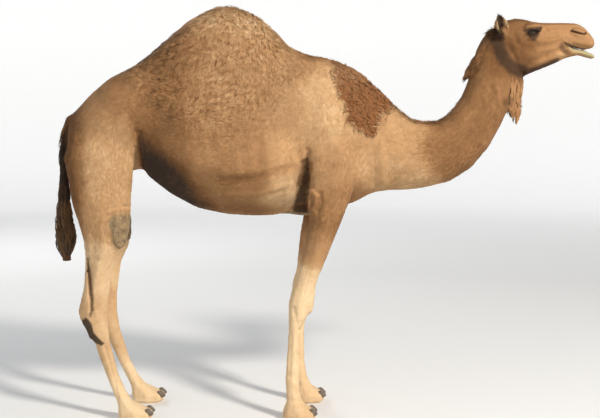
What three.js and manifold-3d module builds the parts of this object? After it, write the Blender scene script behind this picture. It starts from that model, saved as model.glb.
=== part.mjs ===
// A standing dromedary camel, life size, as a still museum model.
// Millimetres. +X is the way it faces and +Z is up. The soles rest on z = 0 and the middle of its length
// ends up at x = 0.
import * as THREE from 'three';
import { mergeVertices } from 'three/addons/utils/BufferGeometryUtils.js';
import Module from 'manifold-3d';

const wasm = await Module();
wasm.setup();

// Heights of the animal, from the floor
const HUMP_TOP = 2152;
const WITHERS = 1888;
const BELLY_LOW = 1046;
const BRISKET = 1085;
const POLL = 2071;
const ELBOW = 1130;
const KNEE = 605;
const HOCK = 564;
const FETLOCK = 144;
const STIFLE = 1120;

// Half widths of the animal
const BARREL_HALF = 322;
const SHOULDER_HALF = 222;
const HIP_HALF = 230;
const NECK_HALF = 88;
const HEAD_HALF = 97;
const MUZZLE_HALF = 54;
const TRACK_HALF = 188;

// How far forward the toes of the right feet reach
const FORE_TOE = -36;
const HIND_TOE = -882;

// Parting gap between neighbouring pieces
const GAP = 0.3;

const COAT_TAN = 0xbd9263;
const COAT_CREAM = 0xdcbd8e;
const WOOL_BROWN = 0x9a6f45;
const HAIR_DARK = 0x4a3626;
const CALLUS_GREY = 0x7b6650;
const NAIL_GREY = 0x5d5344;
const EYE_BROWN = 0x1d130c;

// A three.js geometry as a manifold solid
function solid(geometry) {
  geometry.deleteAttribute('normal');
  geometry.deleteAttribute('uv');
  const merged = mergeVertices(geometry, 1e-3);
  const mesh = new wasm.Mesh({
    numProp: 3,
    vertProperties: new Float32Array(merged.attributes.position.array),
    triVerts: new Uint32Array(merged.index.array),
  });
  return new wasm.Manifold(mesh);
}

// One cross-section: its top or rear edge and its low or front edge as [x, z] in the side view, its half
// width, the middle plane it lies on, how far up the widest line is, and how pointed its two ends are
// (1 is round)
function section(top, low, half, { y = 0, wide = 0.5, crest = 1, keel = 1 } = {}) {
  return [...top, ...low, half, y, wide, crest, keel];
}

// A body drawn smoothly through its cross-sections, tail to head or sole to shoulder.
// The cylinder's side x becomes the body's side, its z the line from low to top.
function loft(sections, sides, steps) {
  const knots = sections.map((_, index) => index);
  const spline = new THREE.CubicInterpolant(knots, sections.flat(), sections[0].length);
  const geometry = new THREE.CylinderGeometry(1, 1, 1, sides, steps);
  const position = geometry.attributes.position;
  for (let i = 0; i < position.count; i++) {
    const along = (position.getY(i) + 0.5) * (sections.length - 1);
    const [topX, topZ, lowX, lowZ, half, middle, wide, crest, keel] = spline.evaluate(along);
    const side = -position.getX(i);
    const rise = position.getZ(i);
    const power = rise > 0 ? crest : keel;
    const reach = rise > 0 ? 1 - wide : wide;
    const level = wide + reach * Math.sign(rise) * Math.abs(rise) ** power;
    position.setXYZ(
      i,
      lowX + (topX - lowX) * level,
      middle + half * Math.sign(side) * Math.abs(side) ** power,
      lowZ + (topZ - lowZ) * level,
    );
  }
  return solid(geometry);
}

// A ball stretched to three radii, turned in the side view (nose up) and then in the plan (nose to +Y)
function ball(centre, radii, { nose = 0, turn = 0, round = 10, rows = 8, grow = 0 } = {}) {
  const geometry = new THREE.SphereGeometry(1, round, rows);
  geometry.rotateX(Math.PI / 2);
  geometry.scale(radii[0] + grow, radii[1] + grow, radii[2] + grow);
  geometry.rotateY(-THREE.MathUtils.degToRad(nose));
  geometry.rotateZ(THREE.MathUtils.degToRad(turn));
  geometry.translate(...centre);
  return solid(geometry);
}

// A block between three pairs of limits, turned about its own middle in the side view (nose up)
function block([x0, x1], [y0, y1], [z0, z1], { nose = 0, grow = 0 } = {}) {
  const geometry = new THREE.BoxGeometry(x1 - x0 + 2 * grow, y1 - y0 + 2 * grow, z1 - z0 + 2 * grow);
  geometry.rotateY(-THREE.MathUtils.degToRad(nose));
  geometry.translate((x0 + x1) / 2, (y0 + y1) / 2, (z0 + z1) / 2);
  return solid(geometry);
}

// Everything forward of the line from a point on the back to a point on the underside, both as [x, z]
const REGION = { reach: 900, width: 700, margin: 900 };
function forwardOf(back, under, { grow = 0 } = {}) {
  const tall = Math.hypot(back[0] - under[0], back[1] - under[1]) + REGION.margin;
  const geometry = new THREE.BoxGeometry(REGION.reach + grow, REGION.width, tall);
  geometry.translate((REGION.reach - grow) / 2, 0, 0);
  geometry.rotateY(Math.atan2(back[0] - under[0], back[1] - under[1]));
  geometry.translate((back[0] + under[0]) / 2, 0, (back[1] + under[1]) / 2);
  return solid(geometry);
}

// Rump, back, chest and the whole neck up to the back of the head, without the barrel of the belly
function torsoAndNeck() {
  return loft([
    section([-1326, 1490], [-1322, 1350], 84),
    section([-1296, 1590], [-1300, 1240], 146),
    section([-1215, 1680], [-1215, 1200], 190),
    section([-1110, 1770], [-1100, 1245], 222, { wide: 0.55, crest: 1.1 }),
    section([-960, 1842], [-950, 1290], HIP_HALF, { wide: 0.55, crest: 1.15 }),
    section([-780, 1872], [-780, 1215], 240, { wide: 0.5, crest: 1.1 }),
    section([-560, 1882], [-560, 1130], 254),
    section([-340, 1890], [-350, 1100], 250),
    section([-160, 1896], [-190, BRISKET + 8], 236, { wide: 0.55, keel: 1.25 }),
    section([0, WITHERS - 6], [-50, BRISKET], SHOULDER_HALF, { wide: 0.55, crest: 1.15, keel: 1.35 }),
    section([105, 1849], [60, BRISKET + 2], 204, { wide: 0.52, crest: 1.15, keel: 1.25 }),
    section([200, 1790], [155, 1100], 180, { wide: 0.5, keel: 1.1 }),
    section([295, 1703], [260, 1160], 152),
    section([385, 1612], [358, 1174], 130),
    section([455, 1553], [450, 1177], 116),
    section([530, 1539], [540, 1190], 106),
    section([597, 1543], [665, 1222], 99),
    section([642, 1568], [775, 1292], 95),
    section([682, 1615], [865, 1400], 91),
    section([716, 1666], [925, 1510], NECK_HALF),
    section([742, 1726], [966, 1600], NECK_HALF - 1),
    section([764, 1795], [998, 1690], NECK_HALF - 2),
    section([792, 1876], [1024, 1770], NECK_HALF - 6),
    section([838, 1956], [1040, 1840], NECK_HALF - 16),
    section([888, 2014], [1040, 1910], 48),
  ], 16, 24);
}

// The barrel of the belly ends in front in a blunt edge, with a deep fold between it and the elbow
function barrel() {
  return loft([
    section([-1040, 1600], [-1010, 1410], 60),
    section([-945, 1710], [-915, 1246], 200, { crest: 1.15 }),
    section([-820, 1775], [-800, 1154], 268, { crest: 1.2 }),
    section([-670, 1800], [-660, 1080], 306, { wide: 0.46, crest: 1.2 }),
    section([-510, 1800], [-505, BELLY_LOW + 2], BARREL_HALF, { wide: 0.44, crest: 1.2 }),
    section([-350, 1790], [-362, BELLY_LOW - 6], BARREL_HALF - 6, { wide: 0.44, crest: 1.25 }),
    section([-225, 1740], [-248, BELLY_LOW - 2], 294, { wide: 0.45, crest: 1.35 }),
    section([-145, 1640], [-190, BELLY_LOW + 8], 255, { wide: 0.47, crest: 1.5 }),
    section([-90, 1500], [-154, 1110], 185, { crest: 1.5 }),
  ], 14, 8);
}

function hump() {
  return loft([
    section([-1040, 1800], [-1010, 1640], 50, { wide: 0.35 }),
    section([-905, 1896], [-900, 1540], 140, { wide: 0.3 }),
    section([-795, 1994], [-800, 1490], 184, { wide: 0.28 }),
    section([-680, 2086], [-690, 1480], 208, { wide: 0.27, crest: 1.08 }),
    section([-560, HUMP_TOP - 4], [-560, 1480], 220, { wide: 0.26, crest: 1.12 }),
    section([-450, HUMP_TOP - 2], [-440, 1480], 220, { wide: 0.26, crest: 1.12 }),
    section([-335, 2096], [-320, 1490], 204, { wide: 0.27, crest: 1.08 }),
    section([-245, 2012], [-235, 1520], 172, { wide: 0.3 }),
    section([-178, 1934], [-170, 1580], 130, { wide: 0.35 }),
    section([-80, 1894], [-90, 1660], 60, { wide: 0.4 }),
  ], 12, 9);
}

// Back of the head, forehead, cheeks, nose and upper lip
function skull() {
  return loft([
    section([912, 2040], [990, 1795], 66),
    section([960, 2070], [1026, 1776], 86),
    section([1014, POLL + 1], [1064, 1792], 93, { wide: 0.52, keel: 1.1 }),
    section([1068, 2056], [1106, 1814], HEAD_HALF - 3, { wide: 0.56, keel: 1.15 }),
    section([1122, 2048], [1150, 1834], 84, { wide: 0.54, crest: 0.95, keel: 1.1 }),
    section([1178, 2047], [1196, 1864], 67, { wide: 0.5, crest: 0.9 }),
    section([1232, 2047], [1238, 1902], 56, { wide: 0.46, crest: 0.9 }),
    section([1284, 2046], [1287, 1921], MUZZLE_HALF, { wide: 0.42, crest: 0.92 }),
    section([1330, 2038], [1336, 1912], MUZZLE_HALF + 2, { wide: 0.4, crest: 0.95 }),
    section([1364, 2008], [1372, 1909], MUZZLE_HALF - 3, { wide: 0.42 }),
    section([1390, 1976], [1391, 1915], 40, { wide: 0.45 }),
    section([1404, 1955], [1404, 1929], 20),
  ], 12, 13);
}

// Lower jaw with its chin and drooping lower lip
function jaw() {
  return loft([
    section([1060, 1850], [1036, 1768], 52),
    section([1100, 1880], [1084, 1790], 66),
    section([1160, 1905], [1148, 1815], 62, { keel: 0.95 }),
    section([1212, 1925], [1204, 1838], 51, { keel: 0.95 }),
    section([1252, 1930], [1248, 1860], 45),
    section([1292, 1914], [1284, 1872], 42),
    section([1330, 1903], [1322, 1880], 41),
    section([1366, 1896], [1360, 1869], 40),
    section([1392, 1889], [1388, 1861], 34),
    section([1406, 1878], [1406, 1864], 20),
  ], 8, 9);
}

// Each eye bulges the head at the side
const EYE = { x: 1068, y: 81, z: 1994, radius: 23 };
const EAR = { x: 924, y: 60, z: 1990, length: 122, half: 29, splay: 22, turn: 60 };

function orbit(side) {
  return ball([1070, side * 62, 2003], [58, 35, 38], { nose: -8, round: 8, rows: 5 });
}

// A short rounded ear, hollow in front, leaning back and out
function ear(side, lean) {
  const { length, half } = EAR;
  const shell = [
    section([-14, -20], [14, -20], 14),
    section([-22, length * 0.15], [18, length * 0.15], 24),
    section([-22, length * 0.45], [15, length * 0.45], half),
    section([-17, length * 0.78], [9, length * 0.78], half - 9),
    section([-7, length], [-1, length], 5),
  ];
  const hollow = [
    section([2, length * 0.12], [30, length * 0.12], 6),
    section([-12, length * 0.34], [40, length * 0.34], half - 8),
    section([-10, length * 0.62], [40, length * 0.62], half - 11),
    section([-6, length * 0.84], [30, length * 0.84], 7),
  ];
  return loft(shell, 8, 5).subtract(loft(hollow, 6, 3))
    .rotate([0, 0, side * EAR.turn])
    .rotate([side * -EAR.splay, -lean, 0])
    .translate([EAR.x, side * EAR.y, EAR.z]);
}

// The legs of the two sides stand differently: how far each height of a leg is forward of the right one's
function stance(byHeight) {
  const spline = new THREE.LinearInterpolant(byHeight.map(([z]) => z), byHeight.map(([, shift]) => shift), 1);
  return (z) => spline.evaluate(z)[0];
}
const SQUARE = stance([[0, 0], [2000, 0]]);

// Each row of a leg: height, rear edge, front edge, half width and distance of its middle from the midline
function legLoft(rows, side, sides, rearShift, frontShift) {
  const sections = rows.map(([z, rear, front, half, y, shape]) => (
    section([rear + rearShift(z), z], [front + frontShift(z), z], half, { y: side * y, ...shape })
  ));
  return loft(sections, sides, rows.length - 1);
}

const PAD_SHAPE = { crest: 0.86, keel: 0.8 };
const POINTED = { wide: 0.6, crest: 1.35 };

function foreLeg(side, shift) {
  return legLoft([
    [0, -200, -56, 68, TRACK_HALF, PAD_SHAPE],
    [13, -212, -38, 80, TRACK_HALF, PAD_SHAPE],
    [42, -213, FORE_TOE, 80, TRACK_HALF, PAD_SHAPE],
    [66, -205, -70, 68, 187, { crest: 0.9, keel: 0.9 }],
    [95, -193, -108, 50, 186],
    [FETLOCK, -196, -122, 42, 184],
    [215, -199, -125, 36, 181],
    [400, -186, -126, 34, 172],
    [475, -182, -116, 41, 167],
    [535, -184, -84, 50, 164],
    [KNEE, -183, -57, 56, 163],
    [668, -168, -46, 54, 163],
    [740, -143, -26, 54, 165],
    [940, -96, 57, 65, 170],
    [1040, -81, 101, 72, 168],
    [ELBOW + 10, -80, 145, 77, 164],
    [1250, -94, 178, 76, 158],
    [1380, -102, 180, 73, 149],
    [1520, -70, 140, 58, 134],
    [1640, -20, 80, 30, 110],
  ], side, 8, shift, shift);
}

function hindLeg(side, rearShift, frontShift) {
  return legLoft([
    [0, -1052, -902, 62, TRACK_HALF, PAD_SHAPE],
    [13, -1064, -886, 73, TRACK_HALF, PAD_SHAPE],
    [42, -1066, HIND_TOE, 74, TRACK_HALF, PAD_SHAPE],
    [68, -1065, -928, 60, 187, { crest: 0.9, keel: 0.9 }],
    [98, -1072, -988, 46, 186],
    [FETLOCK, -1091, -1020, 40, 184],
    [235, -1127, -1060, 32, 179],
    [400, -1187, -1101, 37, 174],
    [460, -1224, -1107, 44, 172],
    [520, -1258, -1109, 48, 172, POINTED],
    [HOCK, -1268, -1109, 50, 172, POINTED],
    [615, -1255, -1107, 48, 173, POINTED],
    [690, -1235, -1098, 50, 176, { wide: 0.55, crest: 1.2 }],
    [780, -1226, -1085, 60, 182],
    [860, -1224, -1046, 70, 185],
    [930, -1233, -1006, 82, 180],
    [1010, -1258, -986, 92, 172],
    [STIFLE, -1302, -978, 98, 161],
    [1360, -1336, -966, 95, 138],
    [1480, -1306, -980, 84, 124],
    [1590, -1240, -1030, 50, 100],
  ], side, 8, rearShift, frontShift);
}

// The hollow between the heel tendon and the shin bone, on the outer and inner side of each gaskin
function gaskinHollow(side, face) {
  return ball([-1192, side * (178 + face * 52), 708], [15, 42, 112], { round: 6, rows: 5 });
}

// The split in front between the two toes
function toeCleft(toeX, side) {
  return ball([toeX + 8, side * TRACK_HALF, 34], [62, 5, 44], { nose: -24, round: 6, rows: 5 });
}

// Tail, from the tip of its tuft up to its root on the rump
function tail() {
  return loft([
    section([-1362, 798], [-1346, 798], 8),
    section([-1402, 860], [-1312, 866], 30),
    section([-1424, 930], [-1294, 940], 42),
    section([-1421, 1010], [-1308, 1018], 44),
    section([-1402, 1100], [-1326, 1105], 38),
    section([-1385, 1190], [-1336, 1190], 30),
    section([-1380, 1300], [-1340, 1300], 25),
    section([-1376, 1400], [-1334, 1396], 26),
    section([-1366, 1495], [-1310, 1470], 32),
    section([-1344, 1562], [-1280, 1500], 40),
    section([-1306, 1592], [-1230, 1500], 40),
  ], 8, 10);
}

// Hair hanging from the throat
function beard() {
  return loft([
    section([1000, 1529], [1014, 1529], 8),
    section([986, 1566], [1052, 1580], 20),
    section([960, 1612], [1040, 1640], 27),
    section([985, 1690], [1038, 1694], 30),
    section([1000, 1752], [1038, 1752], 30),
    section([1010, 1800], [1040, 1792], 26),
  ], 8, 6);
}

// Longer hair down the nape, ending in a loose tuft
function mane() {
  return loft([
    section([742, 1786], [758, 1778], 12),
    section([757, 1820], [790, 1800], 32),
    section([778, 1868], [812, 1850], 42),
    section([800, 1922], [838, 1896], 46),
    section([828, 1975], [880, 1944], 44),
    section([868, 2026], [924, 1990], 36),
  ], 8, 6);
}

// The slit between the lips, open a little in front
function mouth() {
  return loft([
    section([1240, 1941], [1240, 1937], 90),
    section([1290, 1930], [1290, 1918], 90),
    section([1345, 1917], [1345, 1899], 90),
    section([1385, 1913], [1385, 1892], 90),
    section([1440, 1915], [1440, 1875], 90),
  ], 8, 4);
}

const SIDES = [
  { name: 'right', sign: -1, fore: SQUARE, hindRear: SQUARE, hindFront: SQUARE, earLean: 19 },
  {
    name: 'left',
    sign: 1,
    fore: stance([
      [0, 52], [110, 44], [200, 30], [520, 25], [640, 6], [770, 0], [950, -28], [1200, -20], [1400, 0],
    ]),
    hindRear: stance([
      [0, 18], [110, 14], [300, 0], [530, -16], [860, -18], [1000, -14], [1400, 0],
    ]),
    hindFront: stance([
      [0, 18], [110, 14], [300, 0], [530, -8], [860, -8], [1000, -50], [1380, -50], [1600, 0],
    ]),
    earLean: -4,
  },
];

const MATERIALS = {
  coat: { color: COAT_TAN, roughness: 0.9 },
  leg: { color: COAT_CREAM, roughness: 0.88 },
  wool: { color: WOOL_BROWN, roughness: 0.95 },
  hair: { color: HAIR_DARK, roughness: 0.8 },
  callus: { color: CALLUS_GREY, roughness: 0.85 },
  nail: { color: NAIL_GREY, roughness: 0.55 },
  eye: { color: EYE_BROWN, roughness: 0.12 },
};

// The animal in one body first, with the hollows that its outline needs
let body = torsoAndNeck();
for (const shape of [barrel, hump, skull, jaw, tail, beard, mane]) {
  body = body.add(shape());
}
for (const { sign, fore, hindRear, hindFront, earLean } of SIDES) {
  body = body.add(foreLeg(sign, fore)).add(hindLeg(sign, hindRear, hindFront));
  body = body.add(orbit(sign)).add(ear(sign, earLean));
  body = body.subtract(gaskinHollow(sign, 1)).subtract(gaskinHollow(sign, -1));
  body = body.subtract(toeCleft(FORE_TOE + fore(0), sign)).subtract(toeCleft(HIND_TOE + hindFront(0), sign));
}
body = body.subtract(mouth());

const pieces = [];

// A piece of its own shape, let into the body with the parting gap round it
function letIn(name, material, shape) {
  pieces.push({ name, material, body: shape(0) });
  body = body.subtract(shape(GAP));
}

// A piece parted from the body by the region that holds it
function part(name, material, region) {
  pieces.push({ name, material, body: body.intersect(region(0)) });
  body = body.subtract(region(GAP));
}

// Nails on the two toes of a foot, each a little to its own side of the cleft
const TOES = { inner: -1, outer: 1 };
const TOE_HALF = 34;
function nails(foot, side, sign, toeX) {
  for (const [toe, way] of Object.entries(TOES)) {
    const centre = [toeX - 20, sign * (TRACK_HALF + way * TOE_HALF), 45];
    letIn(`${foot}_${side}_nail_${toe}`, 'nail', (grow) => (
      ball(centre, [27, 19, 21], { nose: -22, turn: sign * way * 7, round: 6, rows: 4, grow })
    ));
  }
}

for (const { name: side, sign, fore, hindFront } of SIDES) {
  letIn(`eye_${side}`, 'eye', (grow) => (
    ball([EYE.x, sign * EYE.y, EYE.z], [EYE.radius, EYE.radius, EYE.radius], { round: 8, rows: 5, grow })
  ));
  letIn(`elbow_pad_${side}`, 'callus', (grow) => (
    ball([-66 + fore(1128), sign * 196, 1128], [22, 24, 50], { nose: -8, round: 7, rows: 4, grow })
  ));
  letIn(`knee_pad_${side}`, 'callus', (grow) => (
    ball([-64 + fore(KNEE), sign * 163, KNEE - 5], [14, 36, 54], { nose: -8, round: 7, rows: 4, grow })
  ));
  letIn(`stifle_pad_${side}`, 'callus', (grow) => (
    ball([-1030 + hindFront(990), sign * 238, 990], [52, 16, 98], {
      turn: sign * -38, nose: -6, round: 8, rows: 4, grow,
    })
  ));
  letIn(`hock_pad_${side}`, 'callus', (grow) => (
    ball([-1192 + hindFront(460), sign * 206, 460], [34, 12, 62], {
      turn: sign * 22, nose: -24, round: 7, rows: 4, grow,
    })
  ));
  nails('fore', side, sign, FORE_TOE + fore(0));
  nails('hind', side, sign, HIND_TOE + hindFront(0));
}
letIn('chest_pad', 'callus', (grow) => (
  ball([-105, 0, BRISKET - 3], [125, 72, 40], { round: 10, rows: 5, grow })
));

for (const { name: side, sign } of SIDES) {
  const across = (inner, outer) => [sign * inner, sign * outer].sort((a, b) => a - b);
  part(`ear_${side}`, 'coat', (grow) => (
    block([850, 962], across(58, 200), [2012, 2160], { nose: -14, grow })
  ));
  part(`fore_${side}_foot`, 'leg', (grow) => block([-300, 120], across(85, 300), [-20, 106], { grow }));
  part(`fore_${side}_cannon`, 'leg', (grow) => block([-300, 120], across(85, 300), [60, 512], { grow }));
  part(`fore_${side}_forearm`, 'leg', (grow) => (
    block([-186, 92], across(86, 420), [400, 1176], { nose: -12, grow })
  ));
  part(`hind_${side}_foot`, 'leg', (grow) => block([-1200, -800], across(85, 300), [-20, 106], { grow }));
  part(`hind_${side}_cannon`, 'leg', (grow) => block([-1350, -900], across(85, 320), [60, 505], { grow }));
  part(`hind_${side}_gaskin`, 'leg', (grow) => block([-1400, -900], across(72, 360), [400, 880], { grow }));
  part(`hind_${side}_thigh`, 'coat', (grow) => (
    block([-1420, -952], across(76, 400), [800, 1390], { grow })
  ));
}
part('hump', 'wool', (grow) => block([-1060, -60], [-300, 300], [1862, 2300], { nose: 2, grow }));
part('tail_tuft', 'hair', (grow) => block([-1500, -1250], [-56, 56], [700, 1180], { grow }));
part('tail_dock', 'coat', (grow) => block([-1450, -1326], [-80, 80], [1100, 1620], { grow }));
part('nape_mane', 'wool', (grow) => block([695, 815], [-80, 80], [1755, 2015], { nose: -24, grow }));
part('beard', 'coat', (grow) => block([988, 1088], [-60, 60], [1490, 1740], { nose: -15, grow }));
part('lower_jaw', 'coat', (grow) => (
  block([1246, 1446], [-100, 100], [1709, 1904], { nose: -16, grow })
    .add(block([1075, 1320], [-100, 100], [1690, 1870], { nose: 30, grow }))
));
part('head', 'coat', (grow) => forwardOf([800, 1990], [1010, 1752], { grow }));
part('neck_top', 'coat', (grow) => forwardOf([640, 1640], [900, 1420], { grow }));
part('neck_middle', 'coat', (grow) => forwardOf([440, 1640], [440, 1120], { grow }));
part('neck_base', 'coat', (grow) => forwardOf([175, 1860], [205, 1080], { grow }));
pieces.push({ name: 'trunk', material: 'coat', body });

const camel = new THREE.Group();
for (const { name, material, body: shape } of pieces) {
  const { vertProperties, triVerts } = shape.getMesh();
  const geometry = new THREE.BufferGeometry();
  geometry.setAttribute('position', new THREE.BufferAttribute(vertProperties, 3));
  geometry.setIndex(new THREE.BufferAttribute(triVerts, 1));
  const surface = new THREE.MeshStandardMaterial({ ...MATERIALS[material], metalness: 0 });
  const mesh = new THREE.Mesh(geometry, surface);
  mesh.name = name;
  camel.add(mesh);
}

// The origin is under the middle of the whole length
const extent = new THREE.Box3().setFromObject(camel);
camel.position.x = -(extent.min.x + extent.max.x) / 2;

export default camel;
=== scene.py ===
import math

import bmesh
import bpy
import numpy as np
from mathutils import Matrix, Vector
from mathutils.bvhtree import BVHTree
from mathutils.kdtree import KDTree


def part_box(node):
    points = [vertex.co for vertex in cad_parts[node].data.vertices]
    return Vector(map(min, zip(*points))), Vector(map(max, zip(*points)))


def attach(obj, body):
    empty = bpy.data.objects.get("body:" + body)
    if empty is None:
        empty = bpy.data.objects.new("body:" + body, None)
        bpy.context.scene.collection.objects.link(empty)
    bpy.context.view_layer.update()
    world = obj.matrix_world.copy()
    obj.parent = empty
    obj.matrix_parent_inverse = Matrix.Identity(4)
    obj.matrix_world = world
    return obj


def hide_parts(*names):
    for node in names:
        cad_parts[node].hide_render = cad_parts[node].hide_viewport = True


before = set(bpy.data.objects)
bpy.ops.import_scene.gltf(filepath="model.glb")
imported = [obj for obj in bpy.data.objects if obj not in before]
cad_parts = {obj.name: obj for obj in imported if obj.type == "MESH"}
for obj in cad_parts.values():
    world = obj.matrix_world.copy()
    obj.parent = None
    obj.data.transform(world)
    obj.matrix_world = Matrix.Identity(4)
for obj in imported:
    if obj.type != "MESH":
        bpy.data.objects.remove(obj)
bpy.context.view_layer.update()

# ---------------------------------------------------------------- the hide, melted together
# One unbroken hide covers the animal from the lips to the tail and down to the soles. It starts as
# the solid parts, pushed out a little, melted into one skin and smoothed as a modeller smooths clay.
MELT_SIZE = 0.007
GAP_CLOSING = 0.0008
RUB_ROUNDS = 80
EDGE_LENGTH = 0.0059


def cast(shape, name):
    """Turns a bmesh into a mesh of that name."""
    mesh = bpy.data.meshes.new(name)
    shape.to_mesh(mesh)
    shape.free()
    return mesh


def put_in_scene(name, mesh):
    """A new object with that mesh, at the origin."""
    made = bpy.data.objects.new(name, mesh)
    bpy.context.scene.collection.objects.link(made)
    return made


def work_in(changed):
    """Works the modifiers of an object into its mesh."""
    mesh = bpy.data.meshes.new_from_object(changed.evaluated_get(bpy.context.evaluated_depsgraph_get()))
    changed.modifiers.clear()
    changed.data = mesh


clay = bmesh.new()
for name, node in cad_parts.items():
    if not name.startswith("ear_"):
        clay.from_mesh(node.data)
bmesh.ops.remove_doubles(clay, verts=clay.verts, dist=1e-5)
clay.normal_update()
for vert in clay.verts:
    vert.co += vert.normal * GAP_CLOSING
hide = put_in_scene("hide", cast(clay, "hide"))
melt = hide.modifiers.new("melt", "REMESH")
melt.mode = "VOXEL"
melt.voxel_size = MELT_SIZE
work_in(hide)


def between(value, low, high):
    """0 below low, 1 above high, smooth between them."""
    t = np.clip((value - low) / (high - low), 0.0, 1.0)
    return t * t * (3 - 2 * t)


def read_points(mesh):
    points = np.zeros(len(mesh.vertices) * 3, np.float32)
    mesh.vertices.foreach_get("co", points)
    return points.reshape(-1, 3).astype(float)


def write_points(mesh, points):
    mesh.vertices.foreach_set("co", np.asarray(points, np.float32).ravel())
    mesh.update()


def read_normals(mesh):
    normals = np.zeros(len(mesh.vertices) * 3, np.float32)
    mesh.vertices.foreach_get("normal", normals)
    return normals.reshape(-1, 3).astype(float)


def read_edges(mesh):
    edges = np.zeros(len(mesh.edges) * 2, np.int32)
    mesh.edges.foreach_get("vertices", edges)
    return edges.reshape(-1, 2)


def rub_smooth(points, edges, strength, rounds):
    """Each point moves towards the middle of its neighbours, by its own strength, round after round."""
    start = np.concatenate([edges[:, 0], edges[:, 1]])
    end = np.concatenate([edges[:, 1], edges[:, 0]])
    count = np.bincount(start, minlength=len(points))
    for _ in range(rounds):
        middle = np.stack([np.bincount(start, points[end, k], len(points)) for k in range(3)], axis=1)
        middle /= count[:, None]
        points = points + (middle - points) * strength[:, None]
    return points


def along_head(x, z):
    """How far forward a place lies, measured square to the slope at the back of the head."""
    return x - 0.55 * (z - 1.9)


# How far the rubbing reaches, in metres: over the trunk first, then on each other part of the body
points = read_points(hide.data)
x, y, z = points.T
reach = np.full(len(points), 0.030)
girth = np.exp(-((x + 0.095) / 0.06) ** 2 - ((z - 1.20) / 0.16) ** 2)
flank = np.exp(-((x + 0.945) / 0.05) ** 2 - ((z - 1.38) / 0.16) ** 2)
for distance, part in (
    (0.015, between(x, 0.25, 0.50)),  # neck
    (0.0045, between(along_head(x, z), 0.86, 0.98) * between(z, 1.55, 1.75)),  # head
    (0.0075, between(-z, -1.16, -0.86)),  # legs
    (0.004, between(-z, -0.16, -0.06)),  # feet
    (0.008, between(-x, 1.300, 1.325)),  # tail
    (0.010, np.maximum(girth, flank)),  # folds of girth and flank
):
    reach += (distance - reach) * part
strength = np.minimum(2 * reach**2 / (RUB_ROUNDS * EDGE_LENGTH**2), 0.8)
write_points(hide.data, rub_smooth(points, read_edges(hide.data), strength, RUB_ROUNDS))
hide.data.shade_smooth()

# ---------------------------------------------------------------- the head of the hide
# The head is bone close under thin skin, so its forms are crisp: brow ridges over deep eye sockets,
# cheek bones, slit nostrils that close against sand, a cleft upper lip and a loose hanging lower one.
EYE_PLACE = np.array([1.077, 0.081, 1.994])
SOCKET_RADIUS = 0.0185


def stance(height):
    """How far the left legs stand forward of the right ones at a height: fore leg, hind leg."""
    fore = np.interp(height, [0, 0.11, 0.20, 0.52, 0.64, 0.77, 0.95, 1.20, 1.40],
                     [0.052, 0.044, 0.030, 0.025, 0.006, 0.0, -0.028, -0.020, 0.0])
    hind = np.interp(height, [0, 0.11, 0.30, 0.53, 0.86, 1.00, 1.38, 1.60],
                     [0.018, 0.014, 0.0, -0.012, -0.013, -0.032, -0.030, 0.0])
    return fore, hind


def from_path(points, path, flat):
    """Distance of each point from a path of points, in the side view only if flat."""
    axes = [0, 2] if flat else [0, 1, 2]
    spots = points[:, axes]
    nearest = np.full(len(points), 9.0)
    path = np.asarray(path, float)[:, axes]
    for start, end in zip(path, path[1:]):
        run = end - start
        along = np.clip((spots - start) @ run / (run @ run), 0, 1)
        nearest = np.minimum(nearest, np.linalg.norm(spots - start - along[:, None] * run, axis=1))
    return nearest


def from_line(points, line):
    """Distance of each point from a line drawn in the side view."""
    return from_path(points, [(px, 0.0, pz) for px, pz in line], flat=True)


def press(points, normals, path, width, lift, flat=False, leg=None):
    """Raises the hide along a path by lift metres, or sinks it if lift is negative, on both sides. A flat
    path is seen from the side, and reaches no further inwards than its own points."""
    points = points.copy()
    for side in (-1, 1):
        way = np.array([(px, py * side, pz) for px, py, pz in path], float)
        if side == 1 and leg is not None:
            way[:, 0] += stance(way[:, 2])[leg]
        lowest, highest = way.min(0) - width, way.max(0) + width
        near = (points[:, 0] > lowest[0]) & (points[:, 0] < highest[0])
        near &= (points[:, 2] > lowest[2]) & (points[:, 2] < highest[2])
        if flat:
            near &= normals[:, 1] * side > 0.02
            near &= points[:, 1] * side > (way[:, 1] * side).min()
        else:
            near &= (points[:, 1] > lowest[1]) & (points[:, 1] < highest[1])
        near = np.flatnonzero(near)
        if not len(near):
            continue
        share = np.clip(1 - (from_path(points[near], way, flat) / width) ** 2, 0, 1) ** 2
        if flat:
            share *= between(normals[near, 1] * side, 0.02, 0.35)
        points[near] += normals[near] * (lift * share)[:, None]
    return points


# A finer skin on the head, so that lips and nostrils can be drawn in it
head_skin = bmesh.new()
head_skin.from_mesh(hide.data)
on_head = [
    edge for edge in head_skin.edges
    if all(v.co.x > 0.955 + 0.45 * (v.co.z - 1.9) and v.co.z > 1.76 for v in edge.verts)
]
bmesh.ops.subdivide_edges(head_skin, edges=on_head, cuts=1, use_grid_fill=True, smooth=0.0)
head_skin.to_mesh(hide.data)
head_skin.free()

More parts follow.
